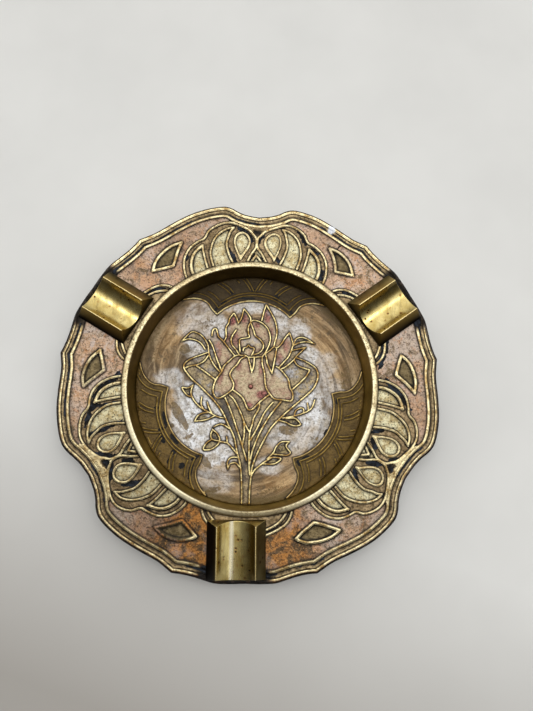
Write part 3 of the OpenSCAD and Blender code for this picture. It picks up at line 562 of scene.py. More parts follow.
def rim_outline(step):
    """Edge of the rim as one closed line."""
    run = np.vstack([spline(NOTCH_RUN, EDGE_STEPS), spline(SHOULDER_RUN, EDGE_STEPS)[1:]])
    half = np.stack([run[:, 0], RIM_R - LIP_R - run[:, 1]], -1)
    whole = []
    for lobe in range(LOBES):
        whole.append(on_rim(half[:0:-1], -1, lobe))
        whole.append(on_rim(half[:-1], 1, lobe))
    return even(np.vstack(whole), step, closed=True)


def nearest(points, others):
    """Distance from each point to the nearest of the others."""
    tree = kdtree.KDTree(len(others))
    for i, (x, y) in enumerate(others):
        tree.insert((x, y, 0), i)
    tree.balance()
    return np.array([tree.find((x, y, 0))[2] for x, y in points])


def distance(points, lines):
    """Distance from each point to the nearest of the lines."""
    return nearest(points, np.vstack([even(line, DISTANCE_STEP) for line in lines]))


def inside(points, polygon):
    """Whether each point is inside a polygon."""
    x, y = points[:, 0], points[:, 1]
    found = np.zeros(len(points), bool)
    p = np.array(polygon, float)
    for (x0, y0), (x1, y1) in zip(p, np.roll(p, -1, 0)):
        if y0 != y1:
            found ^= ((y0 > y) != (y1 > y)) & (x < (x1 - x0) * (y - y0) / (y1 - y0) + x0)
    return found


def in_any(points, areas):
    return np.any([inside(points, area) for area in areas], 0)


def ramp(x, table):
    return np.interp(x, *zip(*table))


def smooth(x, low, high):
    """0 at low, 1 at high and a soft step between."""
    t = np.clip((x - low) / (high - low), 0, 1)
    return t * t * (3 - 2 * t)


def soft_noise(points, size, offset):
    """Smooth noise from -1 to 1 over the plane, with features about size across."""
    return np.array([noise.noise(Vector((x / size + offset, y / size - offset, offset)))
                     for x, y in points])


def turned(points, degrees):
    a = math.radians(degrees)
    spin = np.array([[math.cos(a), math.sin(a)], [-math.sin(a), math.cos(a)]])
    return np.asarray(points, float) @ spin


# ---------------------------------------------------------------- relief meshes
def rows_along(lines, offsets, step):
    """Points beside each line at the given distances from it, on both sides."""
    found = []
    for line in lines:
        run = even(line, step)
        n = normals(run)
        for offset in offsets:
            found.append(run + n * offset)
            if offset:
                found.append(run - n * offset)
    return np.vstack(found)


def filler(outer, gap):
    """A slightly shaken triangular grid of points over a square."""
    rise = gap * ROW_RISE
    j, i = np.mgrid[0:int(2 * outer / rise) + 1, 0:int(2 * outer / gap) + 1]
    grid = np.stack([-outer + gap * (i + 0.5 * (j % 2)), -outer + rise * j], -1).reshape(-1, 2)
    return grid + rng.uniform(-SHAKE, SHAKE, grid.shape) * gap


def filled(points, apart_mm, gap, inner, outer):
    """The points without close doubles, and a filler where there are none nearby."""
    cell = np.round(points / apart_mm).astype(int)
    _, first = np.unique(cell, axis=0, return_index=True)
    points = points[np.sort(first)]
    fill = filler(outer, gap)
    keep = (radius(fill) > inner) & (radius(fill) < outer) & (nearest(fill, points) > FILL_AWAY)
    return np.vstack([points, fill[keep]])


def triangulate(points, loops):
    """Delaunay triangles of the points and the closed loops, with the loops' edges kept."""
    edges = []
    start = 0
    for loop in loops:
        n = len(loop)
        edges += [(start + i, start + (i + 1) % n) for i in range(n)]
        start += n
    every = np.vstack(loops + [points])
    result = delaunay_2d_cdt([Vector(p) for p in every], edges, [], 0, DELAUNAY_GAP)
    return np.array([tuple(v) for v in result[0]]), np.array(result[2])


def between(points, inner_r, outer, inset=0.0):
    """Whether each point is outside a circle and inside a closed outline."""
    at = bearing(outer)
    order = np.argsort(at)
    edge_r = np.interp(bearing(points), at[order], radius(outer)[order], period=360)
    return (radius(points) > inner_r) & (radius(points) < edge_r - inset)


def facing_up(co, faces):
    """The triangles, each turned so that its normal points up."""
    a, b, c = (co[faces[:, k], :2] for k in range(3))
    turn = (b[:, 0] - a[:, 0]) * (c[:, 1] - a[:, 1]) - (b[:, 1] - a[:, 1]) * (c[:, 0] - a[:, 0])
    faces = faces.copy()
    faces[turn < 0] = faces[turn < 0][:, ::-1]
    return [tuple(f) for f in faces[np.abs(turn) > TINY]]


def band(upper, lower, count):
    """Quads between two closed rows of points, given by the index of each row's start."""
    pairs = [(i, (i + 1) % count) for i in range(count)]
    return [(upper + j, upper + i, lower + i, lower + j) for i, j in pairs]


def underside(outer, inner, outer_start, inner_start):
    """Triangles between two closed loops, facing down."""
    co, faces = triangulate(np.empty((0, 2)), [outer, inner])
    keep = between(co[faces].mean(1), radius(inner[:1]) * INNER_EASE, outer)
    index = [outer_start + i for i in range(len(outer))]
    index += [inner_start + i for i in range(len(inner))]
    return [tuple(index[i] for i in f[::-1]) for f in facing_up(co, faces[keep])]


def store(mesh, layers, domain="POINT"):
    """Keeps named values on the mesh, for its material."""
    for label, values in layers.items():
        layer = mesh.attributes.new(label, "FLOAT", domain)
        layer.data.foreach_set("value", np.asarray(values, np.float32))


def mesh_from(name, co_mm, faces, layers):
    """Smooth mesh. Values given for its first points only are 0 on the rest."""
    mesh = bpy.data.meshes.new(name)
    mesh.from_pydata([tuple(c) for c in co_mm * MM], [], [tuple(map(int, f)) for f in faces])
    mesh.validate()
    count = len(co_mm)
    store(mesh, {k: np.append(v, np.zeros(count - len(v))) for k, v in layers.items()})
    mesh.shade_smooth()
    return mesh


def link(name, data):
    thing = bpy.data.objects.new(name, data)
    bpy.context.scene.collection.objects.link(thing)
    return thing


def new_object(name, mesh, material, nodes):
    """Links a finished mesh, rides it on the dish and hides the CAD nodes that it replaces."""
    piece = link(name, mesh)
    piece.data.materials.append(material)
    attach(piece, "root")
    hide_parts(*nodes)
    return piece


def bake_map(mesh, reach_mm):
    """Flat UV map, named OFBake: upward faces fill the square, and the rest, which
    is hidden, shares a small corner of it outside the round top."""
    layer = mesh.uv_layers.new(name="OFBake")
    spots = np.array([v.co for v in mesh.vertices])[:, :2] / (reach_mm * MM) * 0.5 + 0.5
    for polygon in mesh.polygons:
        share = BAKE_CORNER if polygon.normal.z < HIDDEN_BELOW else 1
        for loop in polygon.loop_indices:
            layer.data[loop].uv = spots[mesh.loops[loop].vertex_index] * share


def line_looks(d, top, foot):
    """Height, shine and soot at distance d from the middle of a raised line, which has a
    shallow ditch beside it."""
    half_top, half_foot = top / 2, foot / 2
    height = ramp(d, [(0, 1.0), (half_top, 0.93), (half_foot, 0.02), (half_foot + 0.12, -0.12),
                      (half_foot + SOOT_W, 0)])
    bright = ramp(d, [(0, 1.0), (half_top, 0.95), (half_top + 0.08, 0.5), (half_foot, 0)])
    soot = ramp(d, [(half_top - 0.02, 0), (half_foot - 0.1, 1), (half_foot + SOOT_W - 0.25, 1),
                    (half_foot + SOOT_W, 0)])
    return height, bright, soot


def stain(co, spots, ragged, low=1.25, high=0.75):
    """Strongest stain at each point, with ragged edges."""
    found = np.zeros(len(co))
    for x, y, wide, tall, strength, *turn in spots:
        local = turned(co - (x, y), -turn[0]) if turn else co - (x, y)
        away = np.hypot(local[:, 0] / wide, local[:, 1] / tall) + ragged
        found = np.maximum(found, strength * smooth(away, low, high))
    return found


def remains(co):
    """Share of lacquer at each point, with ragged ends."""
    found = np.zeros(len(co))
    ragged = 0.5 * soft_noise(co, 1.5, 8.2)
    for at, out, half_length, half_width, turn in LACQUER:
        spot = [(0, out, half_length, half_width, 1, turn)]
        found = np.maximum(found, stain(turned(co, 90 - at), spot, ragged, 1.6, 1.3))
    return found


def around_rim(co, spots):
    """Strongest of several soft spots round the rim at each point."""
    azimuth = bearing(co)
    return np.max([strength * smooth(apart(azimuth, at) / spread, 1.3, 0.5)
                   for at, spread, strength in spots], 0)


def rim_surface():
    """Top of the rim plate: its outline, bore, points, triangles and raised lines."""
    outline = rim_outline(OUTLINE_STEP)
    bore = circle(BORE_R, BORE_COUNT)
    lines, wide = everywhere(RIM_LINES), everywhere(WIDE_LINES)
    drops = [shut(on_rim(spline(drop, closed=True), *half)) for drop in (DROP_OUT, DROP_IN)
             for half in halves()]
    top, foot = RIM_LINE_TOP / 2, RIM_LINE_FOOT / 2
    rows = [0, top, foot, foot + 0.14, foot + SOOT_W]
    wide_rows = [0, top + WIDE_EXTRA, foot + WIDE_EXTRA, foot + WIDE_EXTRA + 0.3]
    n = normals(outline, closed=True)
    points = [outline + n * inset for inset, _ in BORDER_PROFILE[1:]]
    for group, offsets in ((lines, rows), (wide, wide_rows), (drops, DROP_ROWS)):
        points.append(rows_along(group, offsets, RIM_ROW_STEP))
    points = filled(np.vstack(points), RIM_APART, RIM_FILL, BORE_R, RIM_R)
    points = points[between(points, BORE_R + 0.1, outline, 0.08)]
    co, faces = triangulate(points, [outline, bore])
    faces = faces[between(co[faces].mean(1), BORE_R, outline)]
    return outline, bore, co, faces, lines, wide, drops


def rim_looks(co, outline, lines, wide, drops):
    """Height of the rim's points and the values that its material reads."""
    d_edge = distance(co, [shut(outline)])
    d_line = np.minimum(distance(co, lines), np.maximum(distance(co, wide) - WIDE_EXTRA, 0))
    d_drop = distance(co, drops)
    r = radius(co)
    y = co[:, 1]
    in_drop_cell = in_halves(co, spline(DROP_IN, closed=True))
    ring = in_halves(co, spline(DROP_OUT, closed=True)) & ~in_drop_cell
    height, bright, soot = line_looks(d_line, RIM_LINE_TOP, RIM_LINE_FOOT)
    ring_h = np.where(ring, smooth(d_drop, 0, RING_RISE), 0)
    height = np.maximum(height, ring_h)
    bright = np.maximum(bright, ring_h)
    soot = np.where(ring, 1 - ring_h, np.maximum(soot, ramp(d_drop, [(0, 1), (SOOT_W, 0)])))
    soot = np.where(ring & (ring_h > 0.9), 0, soot)
    web = in_halves(co, JUNCTION)
    sunk = in_halves(co, SUNK) & (d_line > RIM_LINE_FOOT / 2)
    web_h = np.where(web & ~sunk, 1, 0)
    height = np.where(web_h > 0, 1, height)
    bright = np.maximum(bright, WEB_BRIGHT * web_h * (1 - 0.5 * smooth(y, *FAR_WEB)))
    soot = np.where(web_h > 0, 0, np.where(sunk, 1, soot))

    # The border replaces the pattern near the edge, and is darker toward the viewer, where its
    # dark outer edge is painted wider as painted shade on the plate's edge
    inset = d_edge - 0.3 * smooth(y, *BORDER_SHADE_SPAN)
    edge_bright = ramp(inset, EDGE_BRIGHT) * ramp(d_edge, EDGE_BRIGHT_END)
    edge_bright = np.maximum(edge_bright, ramp(d_edge, INNER_BRIGHT))
    edge_soot = np.maximum(ramp(inset, EDGE_SOOT), ramp(d_edge, INNER_SOOT))
    ink = around_rim(co, GROOVE_INK) * smooth(soft_noise(co, 3.0, 6.6), -0.5, -0.2)
    ink = ink * ramp(d_edge, [(2.6, 0), (2.95, 1), (3.75, 1), (3.9, 0)])
    near = d_edge < BORDER_PROFILE[-1][0] + 0.1
    blend = smooth(d_edge, 4.4, 5.0)
    height = np.where(near, np.maximum(ramp(d_edge, BORDER_PROFILE), height * blend), height)
    bright = np.where(near, np.maximum(edge_bright, bright * blend), bright)
    border_soot = np.maximum(edge_soot * (1 - web_h), soot * blend * (1 - edge_bright))
    soot = np.where(near, border_soot, soot)

    # Areas: stippled cells, the ground of the loops and the border's groove; the rest is field
    cell = in_drop_cell | in_halves(co, [(0, 6), (0.35, 6.2), (2.5, 3.1), (4.8, TUCK), (0, TUCK)])
    for out_line, in_line in ((CRESCENT_OUT, CRESCENT_IN), (PETAL_OUT, PETAL_IN)):
        cell |= in_halves(co, spline(out_line), spline(in_line)[::-1])
    panel = in_halves(co, *map(spline, PANEL_LINES))
    shell = in_halves(co, spline(LOOP), spline(WING), [(0, TUCK)])
    shell |= in_halves(co, spline(ARC_OUT), [(60, 6.9), (60, TUCK)])
    d_wall = np.minimum(d_line, np.where(in_drop_cell, d_drop + RIM_LINE_FOOT / 2, FAR))
    soot = np.maximum(soot, (cell | panel) * ramp(d_wall, [(0.45, 0.9), (1, 0.3), (1.8, 0)]))
    off_line = d_line > 0.4
    z = FIELD_Z + height * LINE_H
    z -= CELL_SINK * ((cell | panel) & off_line) * smooth(d_line, 0.4, 0.8)
    z -= SHELL_SINK * (shell & ~cell & off_line) * smooth(d_line, 0.4, 0.7)
    z += 0.05 * soft_noise(co, 7.0, 3.1) * (r > LIP_R + 1)
    z += 0.035 * soft_noise(co, 1.6, 5.3) * (1 - bright) * (r > LIP_R + 0.5)

    # Wear and dirt that follow places round the rim, and painted shadow beside the rests
    dull = around_rim(co, PANEL_DULL) * (distance(co, everywhere(PANEL_LINES)) < 0.62)
    bright = bright * (1 - dull)
    soot = soot * (1 - 0.6 * dull)
    # Painted shadow of each rest: the border beside it goes dark and loses its shine
    for at, _ in SEATS.values():
        rest_shadow = smooth(apart(bearing(co), at), 12.5, 9.5) * (d_edge < 5.2)
        bright = bright * (1 - 0.8 * rest_shadow)
        soot = np.maximum(soot, rest_shadow)
    soot = np.maximum(soot, 0.9 * smooth(r, LIP_R + 0.75, LIP_R + 0.2))
    bright = bright * smooth(r, LIP_R + 0.2, LIP_R + 0.6)
    away = (turned(co, 90 - CHIP[0]) - (0, CHIP[1])) / CHIP[2:]
    groove = (d_edge > 1.4) & (d_edge < 4)
    return z, {
        "bright": bright, "soot": soot, "cell": cell, "panel": panel,
        "chip": smooth(radius(away) + 0.5 * soft_noise(co, 1.2, 2.2), 1.15, 0.85),
        "tarnish": around_rim(co, TARNISH), "shell": shell | groove | sunk | web,
        "lacquer": np.maximum(remains(co), ink), "rust": around_rim(co, RUST)}


def rim_relief(material):
    """Rim plate with its border, loops, panels and rest seats."""
    outline, bore, co, faces, *raised = rim_surface()
    z, layers = rim_looks(co, outline, *raised)
    n_edge, n_bore, last = len(outline), len(bore), len(co)
    closing = [(outline, PLATE_Z + 0.35), (outline * 0.996, PLATE_Z),
               (bore * (NECK_R + 0.05) / BORE_R, PLATE_Z)]
    co = np.vstack([np.column_stack([co, z])]
                   + [np.column_stack([loop, np.full(len(loop), at)]) for loop, at in closing])
    base, under = last + n_edge, last + 2 * n_edge
    faces = facing_up(co, faces) + band(0, last, n_edge) + band(last, base, n_edge)
    faces += band(under, n_edge, n_bore) + underside(closing[1][0], closing[2][0], base, under)
    layers["soot"] = np.append(layers["soot"], np.ones(len(co) - last))
    mesh = mesh_from("rim_plate_relief", co, faces, layers)
    bake_map(mesh, RIM_R + 1)
    new_object("rim_plate_relief", mesh, material, ["rim_plate"])


def floor_surface():
    """Top of the floor disc: its edge, hole, points, triangles and raised lines."""
    edge = circle(DISC_R, EDGE_COUNT)
    hole = circle(RIVET_R + HOLE_EXTRA, HOLE_COUNT)
    fans = []
    for lobe in range(LOBES):
        at = LOBE_TURN + lobe * 360 / LOBES
        runs = [(1, run) for run in FAN_ARCS]
        runs += [(side, run) for side in (1, -1) for run in FAN_SIDES]
        for side, run in runs:
            p = spline(run)
            fans.append(polar(at + side * p[:, 0], p[:, 1]))
    flower = [spline(p) for p in IRIS_PETALS + IRIS_LEAVES + IRIS_STEMS]
    sprigs = [spline(p) for p in IRIS_SPRIGS]
    top, foot = DISC_LINE_TOP / 2, DISC_LINE_FOOT / 2
    rows = [0, top, foot, foot + 0.14, foot + SOOT_W]
    points = rows_along(fans + flower + sprigs, rows, DISC_ROW_STEP)
    points = filled(points, DISC_APART, DISC_FILL, RIVET_R, DISC_R)
    r = radius(points)
    points = points[(r < DISC_R - 0.12) & (r > RIVET_R + 0.4)]
    co, faces = triangulate(points, [edge, hole])
    faces = faces[radius(co[faces].mean(1)) > RIVET_R + HOLE_EXTRA - 0.01]
    return edge, hole, co, faces, fans, flower, sprigs


def floor_looks(co, fans, flower, sprigs):
    """Height of the floor's points and the values that its material reads."""
    d_fan, d_flower, d_sprig = (distance(co, lines) for lines in (fans, flower, sprigs))
    r = radius(co)
    y = co[:, 1]
    azimuth = bearing(co)
    turn = np.abs((np.degrees(np.arctan2(y, co[:, 0])) - LOBE_TURN + 60) % 120 - 60)
    fan = inside(np.stack([turn, r], -1), np.vstack([
        spline(FAN_ARCS[0])[FAN_MIDDLE:], spline(FAN_SIDES[0]), FAN_BEYOND]))
    slim = 0.06 * smooth(y, 6, 12)
    nearest_leaf = np.where(fan, FAR, np.minimum(d_flower + slim, d_sprig + 0.05))
    d_line = np.minimum(np.where(fan | (d_flower > 1), d_fan, FAR), nearest_leaf)
    height, bright, soot = line_looks(d_line, DISC_LINE_TOP, DISC_LINE_FOOT)
    moat_r = FAN_MOAT_R - FAN_SAG * (turn / FAN_HALF) ** 2
    moat = smooth(np.abs(r - moat_r), 0.75, 0.25) * (turn < 25)
    soot = np.maximum(soot * (1 - 0.5 * fan), moat * fan * 0.25)
    petal = in_any(co, PETAL_AREAS)
    dark_leaf = in_any(co, DARK_LEAVES)
    ragged = 0.3 * soft_noise(co, 7.0, 4.4) + 0.28 * soft_noise(co, 2.2, 2.9)
    rim_of_petal = 0.5 * petal * smooth(d_flower, 1.5, 0.5)
    blush = np.maximum(stain(co, BLUSH, ragged) * petal,
                       rim_of_petal * smooth(soft_noise(co, 4.0, 9.1), -0.1, 0.25))
    black = stain(co, BLACK, 0.35 * ragged) * (fan | (d_fan < 1.5))
    seam = smooth(np.abs(r - SEAM_R), 0.32, 0.12) * smooth(soft_noise(co, 4.0, 7.7), -0.2, 0.1)
    seam = seam * (((azimuth > 172) & (azimuth < 250)) | (azimuth > 305))
    far_side = (y > 24) & ~fan
    near_line = ramp(d_flower, [(0.3, 1), (0.8, 0.8), (1.8, 0)]) * (0.6 + 0.4 * smooth(y, 3, 9))
    z = DISC_TOP + np.maximum(height, 0.4 * seam) * DISC_LINE_H
    z += 0.06 * soft_noise(co, 6.0, 1.7)
    z -= 0.15 * dark_leaf * smooth(d_line, 0.3, 0.6)
    z -= 0.3 * smooth(r, 2.6, 0.9)
    # foot: olive next to the wall, partly the wall's own foot and partly painted shade and
    # reflection of the wall, more in the south
    layers = {
        "bright": np.maximum(bright, 0.75 * seam), "soot": soot, "fan": fan, "petal": petal,
        "leaf": in_any(co, LEAF_AREAS) & ~petal, "dark_leaf": dark_leaf, "blush": blush,
        "black": black, "foot": smooth(r, 42.6, 45.2) * (0.35 + 0.5 * (y < -20)),
        "fan_shade": fan * smooth(y, 20, 33),
        "fan_line": (fan | (d_fan < np.minimum(d_flower, d_sprig))) * (1 - 0.75 * far_side),
        "near_line": near_line * smooth(soft_noise(co, 3.0, 3.6), -0.3, 0.1),
        "along": np.radians((azimuth - 90) % 360) * np.maximum(r, 12), "out": r}
    spots = {"bloom": BLOOM, "brown": BROWN, "golden": GOLDEN, "dark_stroke": STEM_DARK}
    layers.update({label: stain(co, rows, ragged) for label, rows in spots.items()})
    return z, layers


def disc_relief(material):
    """Floor disc with three fans and the flower."""
    edge, hole, co, faces, *raised = floor_surface()
    z, layers = floor_looks(co, *raised)
    n_edge, last = len(edge), len(co)
    z[:n_edge] = DISC_TOP - 0.05
    small_hole = hole * RIVET_R / (RIVET_R + HOLE_EXTRA)
    feet = np.vstack([edge, small_hole])
    co = np.vstack([np.column_stack([co, z]),
                    np.column_stack([feet, np.full(len(feet), CUP_FLOOR_Z)])])
    co[:, :2] = turned(co[:, :2], DISC_TURN)
    faces = facing_up(co, faces) + band(0, last, n_edge)
    faces += band(last + n_edge, n_edge, len(hole))
    layers["soot"] = np.append(layers["soot"], np.full(len(feet), 0.5))
    mesh = mesh_from("floor_medallion_relief", co, faces, layers)
    bake_map(mesh, DISC_R + 1)
    new_object("floor_medallion_relief", mesh, material, ["floor_medallion"])


# ---------------------------------------------------------------- turned and bevelled pieces
def cleaned(work):
    """Joins doubles and turns the faces outward."""
    bmesh.ops.remove_doubles(work, verts=work.verts, dist=WELD)
    bmesh.ops.recalc_face_normals(work, faces=work.faces)
    return work


def emptied(work, mesh):
    """Moves what was worked on into the mesh."""
    work.to_mesh(mesh)
    work.free()
    return mesh


def lathe(name, profile, segments, layers):
    """Turns a profile of (radius, height) about the axis; values follow the profile."""
    ring = circle(1, segments)
    co = np.vstack([np.column_stack([ring * r, np.full(segments, z)]) for r, z in profile])
    faces = []
    for start in range(0, (len(profile) - 1) * segments, segments):
        faces += band(start + segments, start, segments)
    mesh = mesh_from(name, co, faces, {k: np.repeat(v, segments) for k, v in layers.items()})
    work = bmesh.new()
    work.from_mesh(mesh)
    return emptied(cleaned(work), mesh)


def arc(cx, cz, radius_mm, start, stop, count):
    a = np.radians(np.linspace(start, stop, count))
    return [(cx + radius_mm * math.cos(t), cz + radius_mm * math.sin(t)) for t in a]


def cup(material):
    """Turned cup: crowned lip, tapering wall, neck, shoulder and ground foot."""
    shoulder_z = PLATE_Z - 0.05
    shoulder_low = shoulder_z - SHOULDER_T
    wall_top = LIP_Z - LIP_EDGE
    wall_low = CUP_FLOOR_Z + FOOT_ROUND
    profile = [(HOLE_R, CUP_FLOOR_Z), (20, CUP_FLOOR_Z), (FOOT_R - FOOT_ROUND, CUP_FLOOR_Z)]
    profile += arc(FOOT_R - FOOT_ROUND, wall_low, FOOT_ROUND, -90, 0, 4)
    for share in np.linspace(0.06, 0.96, 14):
        bulge = WALL_BULGE * math.sin(math.pi * share)
        profile.append((FOOT_R + (MOUTH_R - FOOT_R) * share + bulge,
                        wall_low + (wall_top - wall_low) * share))
    profile += arc(MOUTH_R + LIP_EDGE, wall_top, LIP_EDGE, 180, 100, 5)
    profile += [(MOUTH_R + 0.8, LIP_Z), (MOUTH_R + 1.4, LIP_Z - 0.02)]
    profile += arc(LIP_R - LIP_EDGE, wall_top - 0.05, LIP_EDGE, 80, 0, 5)
    profile += [(LIP_R, RIM_TOP - LIP_T), (NECK_R, RIM_TOP - LIP_T), (NECK_R, shoulder_z),
                (SHOULDER_R - 0.2, shoulder_z), (SHOULDER_R, shoulder_z - 0.2),
                (SHOULDER_R, shoulder_low + 0.2)]
    low = np.array([WALL_FOOT_R, CUP_FLOOR_Z + 1])
    high = np.array([SHOULDER_R, shoulder_low])
    profile += [tuple(high + (low - high) * t) for t in (0.05, 0.35, 0.7, 1)]
    profile += [(WALL_FOOT_R - 1, CUP_FLOOR_Z - 0.5), (BASE_R + 0.1, 0.55), (BASE_R - 0.25, 0.1),
                (BASE_R - 0.6, 0), (30, 0), (10, 0), (HOLE_R, 0), (HOLE_R, CUP_FLOOR_Z)]
    r, z = np.array(profile).T
    lip = ((z > LIP_Z - 0.32) & (r > MOUTH_R - 0.01)) * smooth(r, LIP_R + 0.1, LIP_R - 0.9)
    wall = (r < MOUTH_R + 0.05) & (z > CUP_FLOOR_Z - 0.01)
    level = smooth(z, CUP_FLOOR_Z + 1.3, LIP_Z) * wall
    mesh = lathe("cup_turned", profile, CUP_SEGMENTS, {"lip": lip, "wall": wall, "level": level})
    azimuth = bearing(np.array([v.co for v in mesh.vertices]))
    store(mesh, {label: smooth(apart(azimuth, at), none, full)
                 for label, at, none, full in CUP_SIDES})
    new_object("cup_turned", mesh, material, ["cup"])


def rivet(material):
    """Small copper rivet, domed, in a pressed ring."""
    top = box_mm("centre_rivet")[1][2]
    profile = [(0, 0), (RIVET_R - 0.1, 0), (RIVET_R, 0.1), (RIVET_R, top - 0.35)]
    profile += arc(RIVET_R - 0.3, top - 0.35, 0.3, 0, 75, 5)
    mesh = lathe("centre_rivet_domed", profile + [(0.3, top - 0.02), (0, top)],
                 RIVET_SEGMENTS, {})
    new_object("centre_rivet_domed", mesh, material, ["centre_rivet"])


def place_at(seat, along=0.0, across=0.0):
    """Matrix that puts a piece at a rest's seat, X pointing away from the cup."""
    out, turn = (Matrix.Rotation(math.radians(angle), 4, "Z") for angle in seat)
    slide = Matrix.Translation((REST_PLACE_R * MM, 0, 0))
    return out @ slide @ turn @ Matrix.Translation((along * MM, across * MM, 0))


def rest(side, material):
    """Trough block with sloping sides and inner end, and softly broken edges."""
    depth = REST_TOP - FIELD_Z - TROUGH_FLOOR
    trough_r = (TROUGH_HALF**2 + depth**2) / (2 * depth)
    sweep = math.degrees(math.asin(TROUGH_HALF / trough_r))
    foot_z = FIELD_Z + REST_FOOT
    section = [(-REST_HALF, FIELD_Z), (REST_HALF, FIELD_Z), (REST_HALF, foot_z),
               (RIDGE_HALF, REST_TOP)]
    section += arc(0, REST_TOP - depth + trough_r, trough_r, 270 + sweep, 270 - sweep, 45)
    section += [(-RIDGE_HALF, REST_TOP), (-REST_HALF, foot_z)]
    work = bmesh.new()
    ends = (-REST_LEN / 2 - END_SLOPE, REST_LEN / 2 + OUTER_SLOPE)
    first, second = ([work.verts.new((x * MM, y * MM, z * MM)) for y, z in section] for x in ends)
    work.faces.new(first[::-1])
    work.faces.new(second)
    for i in range(len(section)):
        j = (i + 1) % len(section)
        work.faces.new((first[i], first[j], second[j], second[i]))
    for end, run in ((-1, END_SLOPE), (1, OUTER_SLOPE)):
        cut = bmesh.ops.bisect_plane(
            work, geom=work.verts[:] + work.edges[:] + work.faces[:], dist=CUT_CLOSE,
            plane_co=(end * REST_LEN / 2 * MM, 0, REST_TOP * MM),
            plane_no=Vector((end * (REST_TOP - foot_z), 0, run)).normalized(), clear_outer=True)
        cut_edges = [e for e in cut["geom_cut"] if isinstance(e, bmesh.types.BMEdge)]
        bmesh.ops.holes_fill(work, edges=cut_edges, sides=0)
    cleaned(work).transform(place_at(SEATS[side]))
    name = f"rest_{side}_block"
    mesh = emptied(work, bpy.data.meshes.new(name))
    piece = new_object(name, mesh, material, [f"rest_{side}"])
    bevel = piece.modifiers.new("edges", "BEVEL")
    bevel.width = BROKEN_EDGE * MM
    bevel.segments = 3
    bevel.limit_method = "ANGLE"
    bevel.angle_limit = math.radians(BEVEL_OVER)
    bake_modifiers(piece)
    piece.data.shade_smooth()
    # Keeps flat faces flat beside the narrow rounded edges
    weighted = piece.modifiers.new("normals", "WEIGHTED_NORMAL")
    weighted.weight = FLAT_WEIGHT
    bake_modifiers(piece)
    mark_faces(piece, side)


def mark_faces(piece, side):
    """Values of the faces, for their colours: painted shade of the slopes, the ridge, painted
    shade on the trough's flanks and a painted highlight streak, and how far down the slope each
    point is."""
    back = place_at(SEATS[side]).inverted()
    middle = np.array([back @ f.center for f in piece.data.polygons]) / MM
    facing = np.array([back.to_3x3() @ f.normal for f in piece.data.polygons])
    across = middle[:, 1] * SHADED_SIDE[side]
    reach = np.abs(across)
    # Painted shade: the slopes, the darker side's more, and the mitre
    slope = np.where(across > RIDGE_HALF, SLOPE_SHADE_STRENGTH[side], 1) * (reach > RIDGE_HALF + 0.06)
    slope = np.where(facing[:, 0] < FACES_CUP, MITRE_SHADE_STRENGTH[side], slope)
    ridge = np.abs(reach - (TROUGH_HALF + RIDGE_HALF) / 2) < 0.14
    flank = np.maximum(smooth(across / TROUGH_HALF, 0.12, 0.9),
                       0.5 * smooth(-across / TROUGH_HALF, 0.3, 1))
    flank = flank * (reach < TROUGH_HALF) * FLANK_SHADE_STRENGTH[side]
    store(piece.data, {"slope": slope, "ridge": ridge, "flank": flank}, "FACE")
    local = np.array([back @ v.co for v in piece.data.vertices]) / MM
    drop = (REST_TOP - local[:, 2]) / (REST_TOP - FIELD_Z - REST_FOOT)
    # Painted highlight: a streak along the front trough
    streak = smooth(np.abs(local[:, 1] - HIGHLIGHT_STREAK_AT), 1.3, 0.3) * (side == "front")
    store(piece.data, {"drop": np.clip(drop + SLOPE_SHADE_AT_TOP[side], 0, 1), "streak": streak})


def bake_modifiers(piece):
    """Applies the piece's modifiers to its mesh."""
    bpy.context.view_layer.update()
    graph = bpy.context.evaluated_depsgraph_get()
    done = bpy.data.meshes.new_from_object(piece.evaluated_get(graph))
    piece.modifiers.clear()
    old = piece.data
    piece.data = done
    done.name = old.name
    bpy.data.meshes.remove(old)


def rest_rivets(material):
    """Two rivets per rest, domed under the plate."""
    base = PLATE_Z - STUD_HEAD_T
    profile = [(0, base)] + arc(0, base + STUD_DOME_R, STUD_DOME_R, -90, -65, 5)
    profile += [(STUD_HEAD_R - 0.1, base + 0.45), (STUD_HEAD_R, base + 0.6), (STUD_HEAD_R, PLATE_Z),
                (STUD_R, PLATE_Z), (STUD_R, FIELD_Z + 2), (0, FIELD_Z + 2)]
    single = lathe("stud", profile, STUD_SEGMENTS, {})
    work = bmesh.new()
    for seat in SEATS.values():
        for s in (1, -1):
            before = len(work.verts)
            work.from_mesh(single)
            work.verts.ensure_lookup_table()
            matrix = place_at(seat, s * STUD_ALONG, s * STUD_ACROSS)
            bmesh.ops.transform(work, matrix=matrix, verts=work.verts[before:])
    mesh = emptied(work, bpy.data.meshes.new("rest_rivets_domed"))
    bpy.data.meshes.remove(single)
    mesh.shade_smooth()
    new_object("rest_rivets_domed", mesh, material, ["rest_rivets"])


# ---------------------------------------------------------------- materials
def linear(v):
    """A colour's value on a screen, 0 to 255, as Blender's linear value."""
    v /= 255
    return v / 12.92 if v <= 0.04045 else ((v + 0.055) / 1.055) ** 2.4


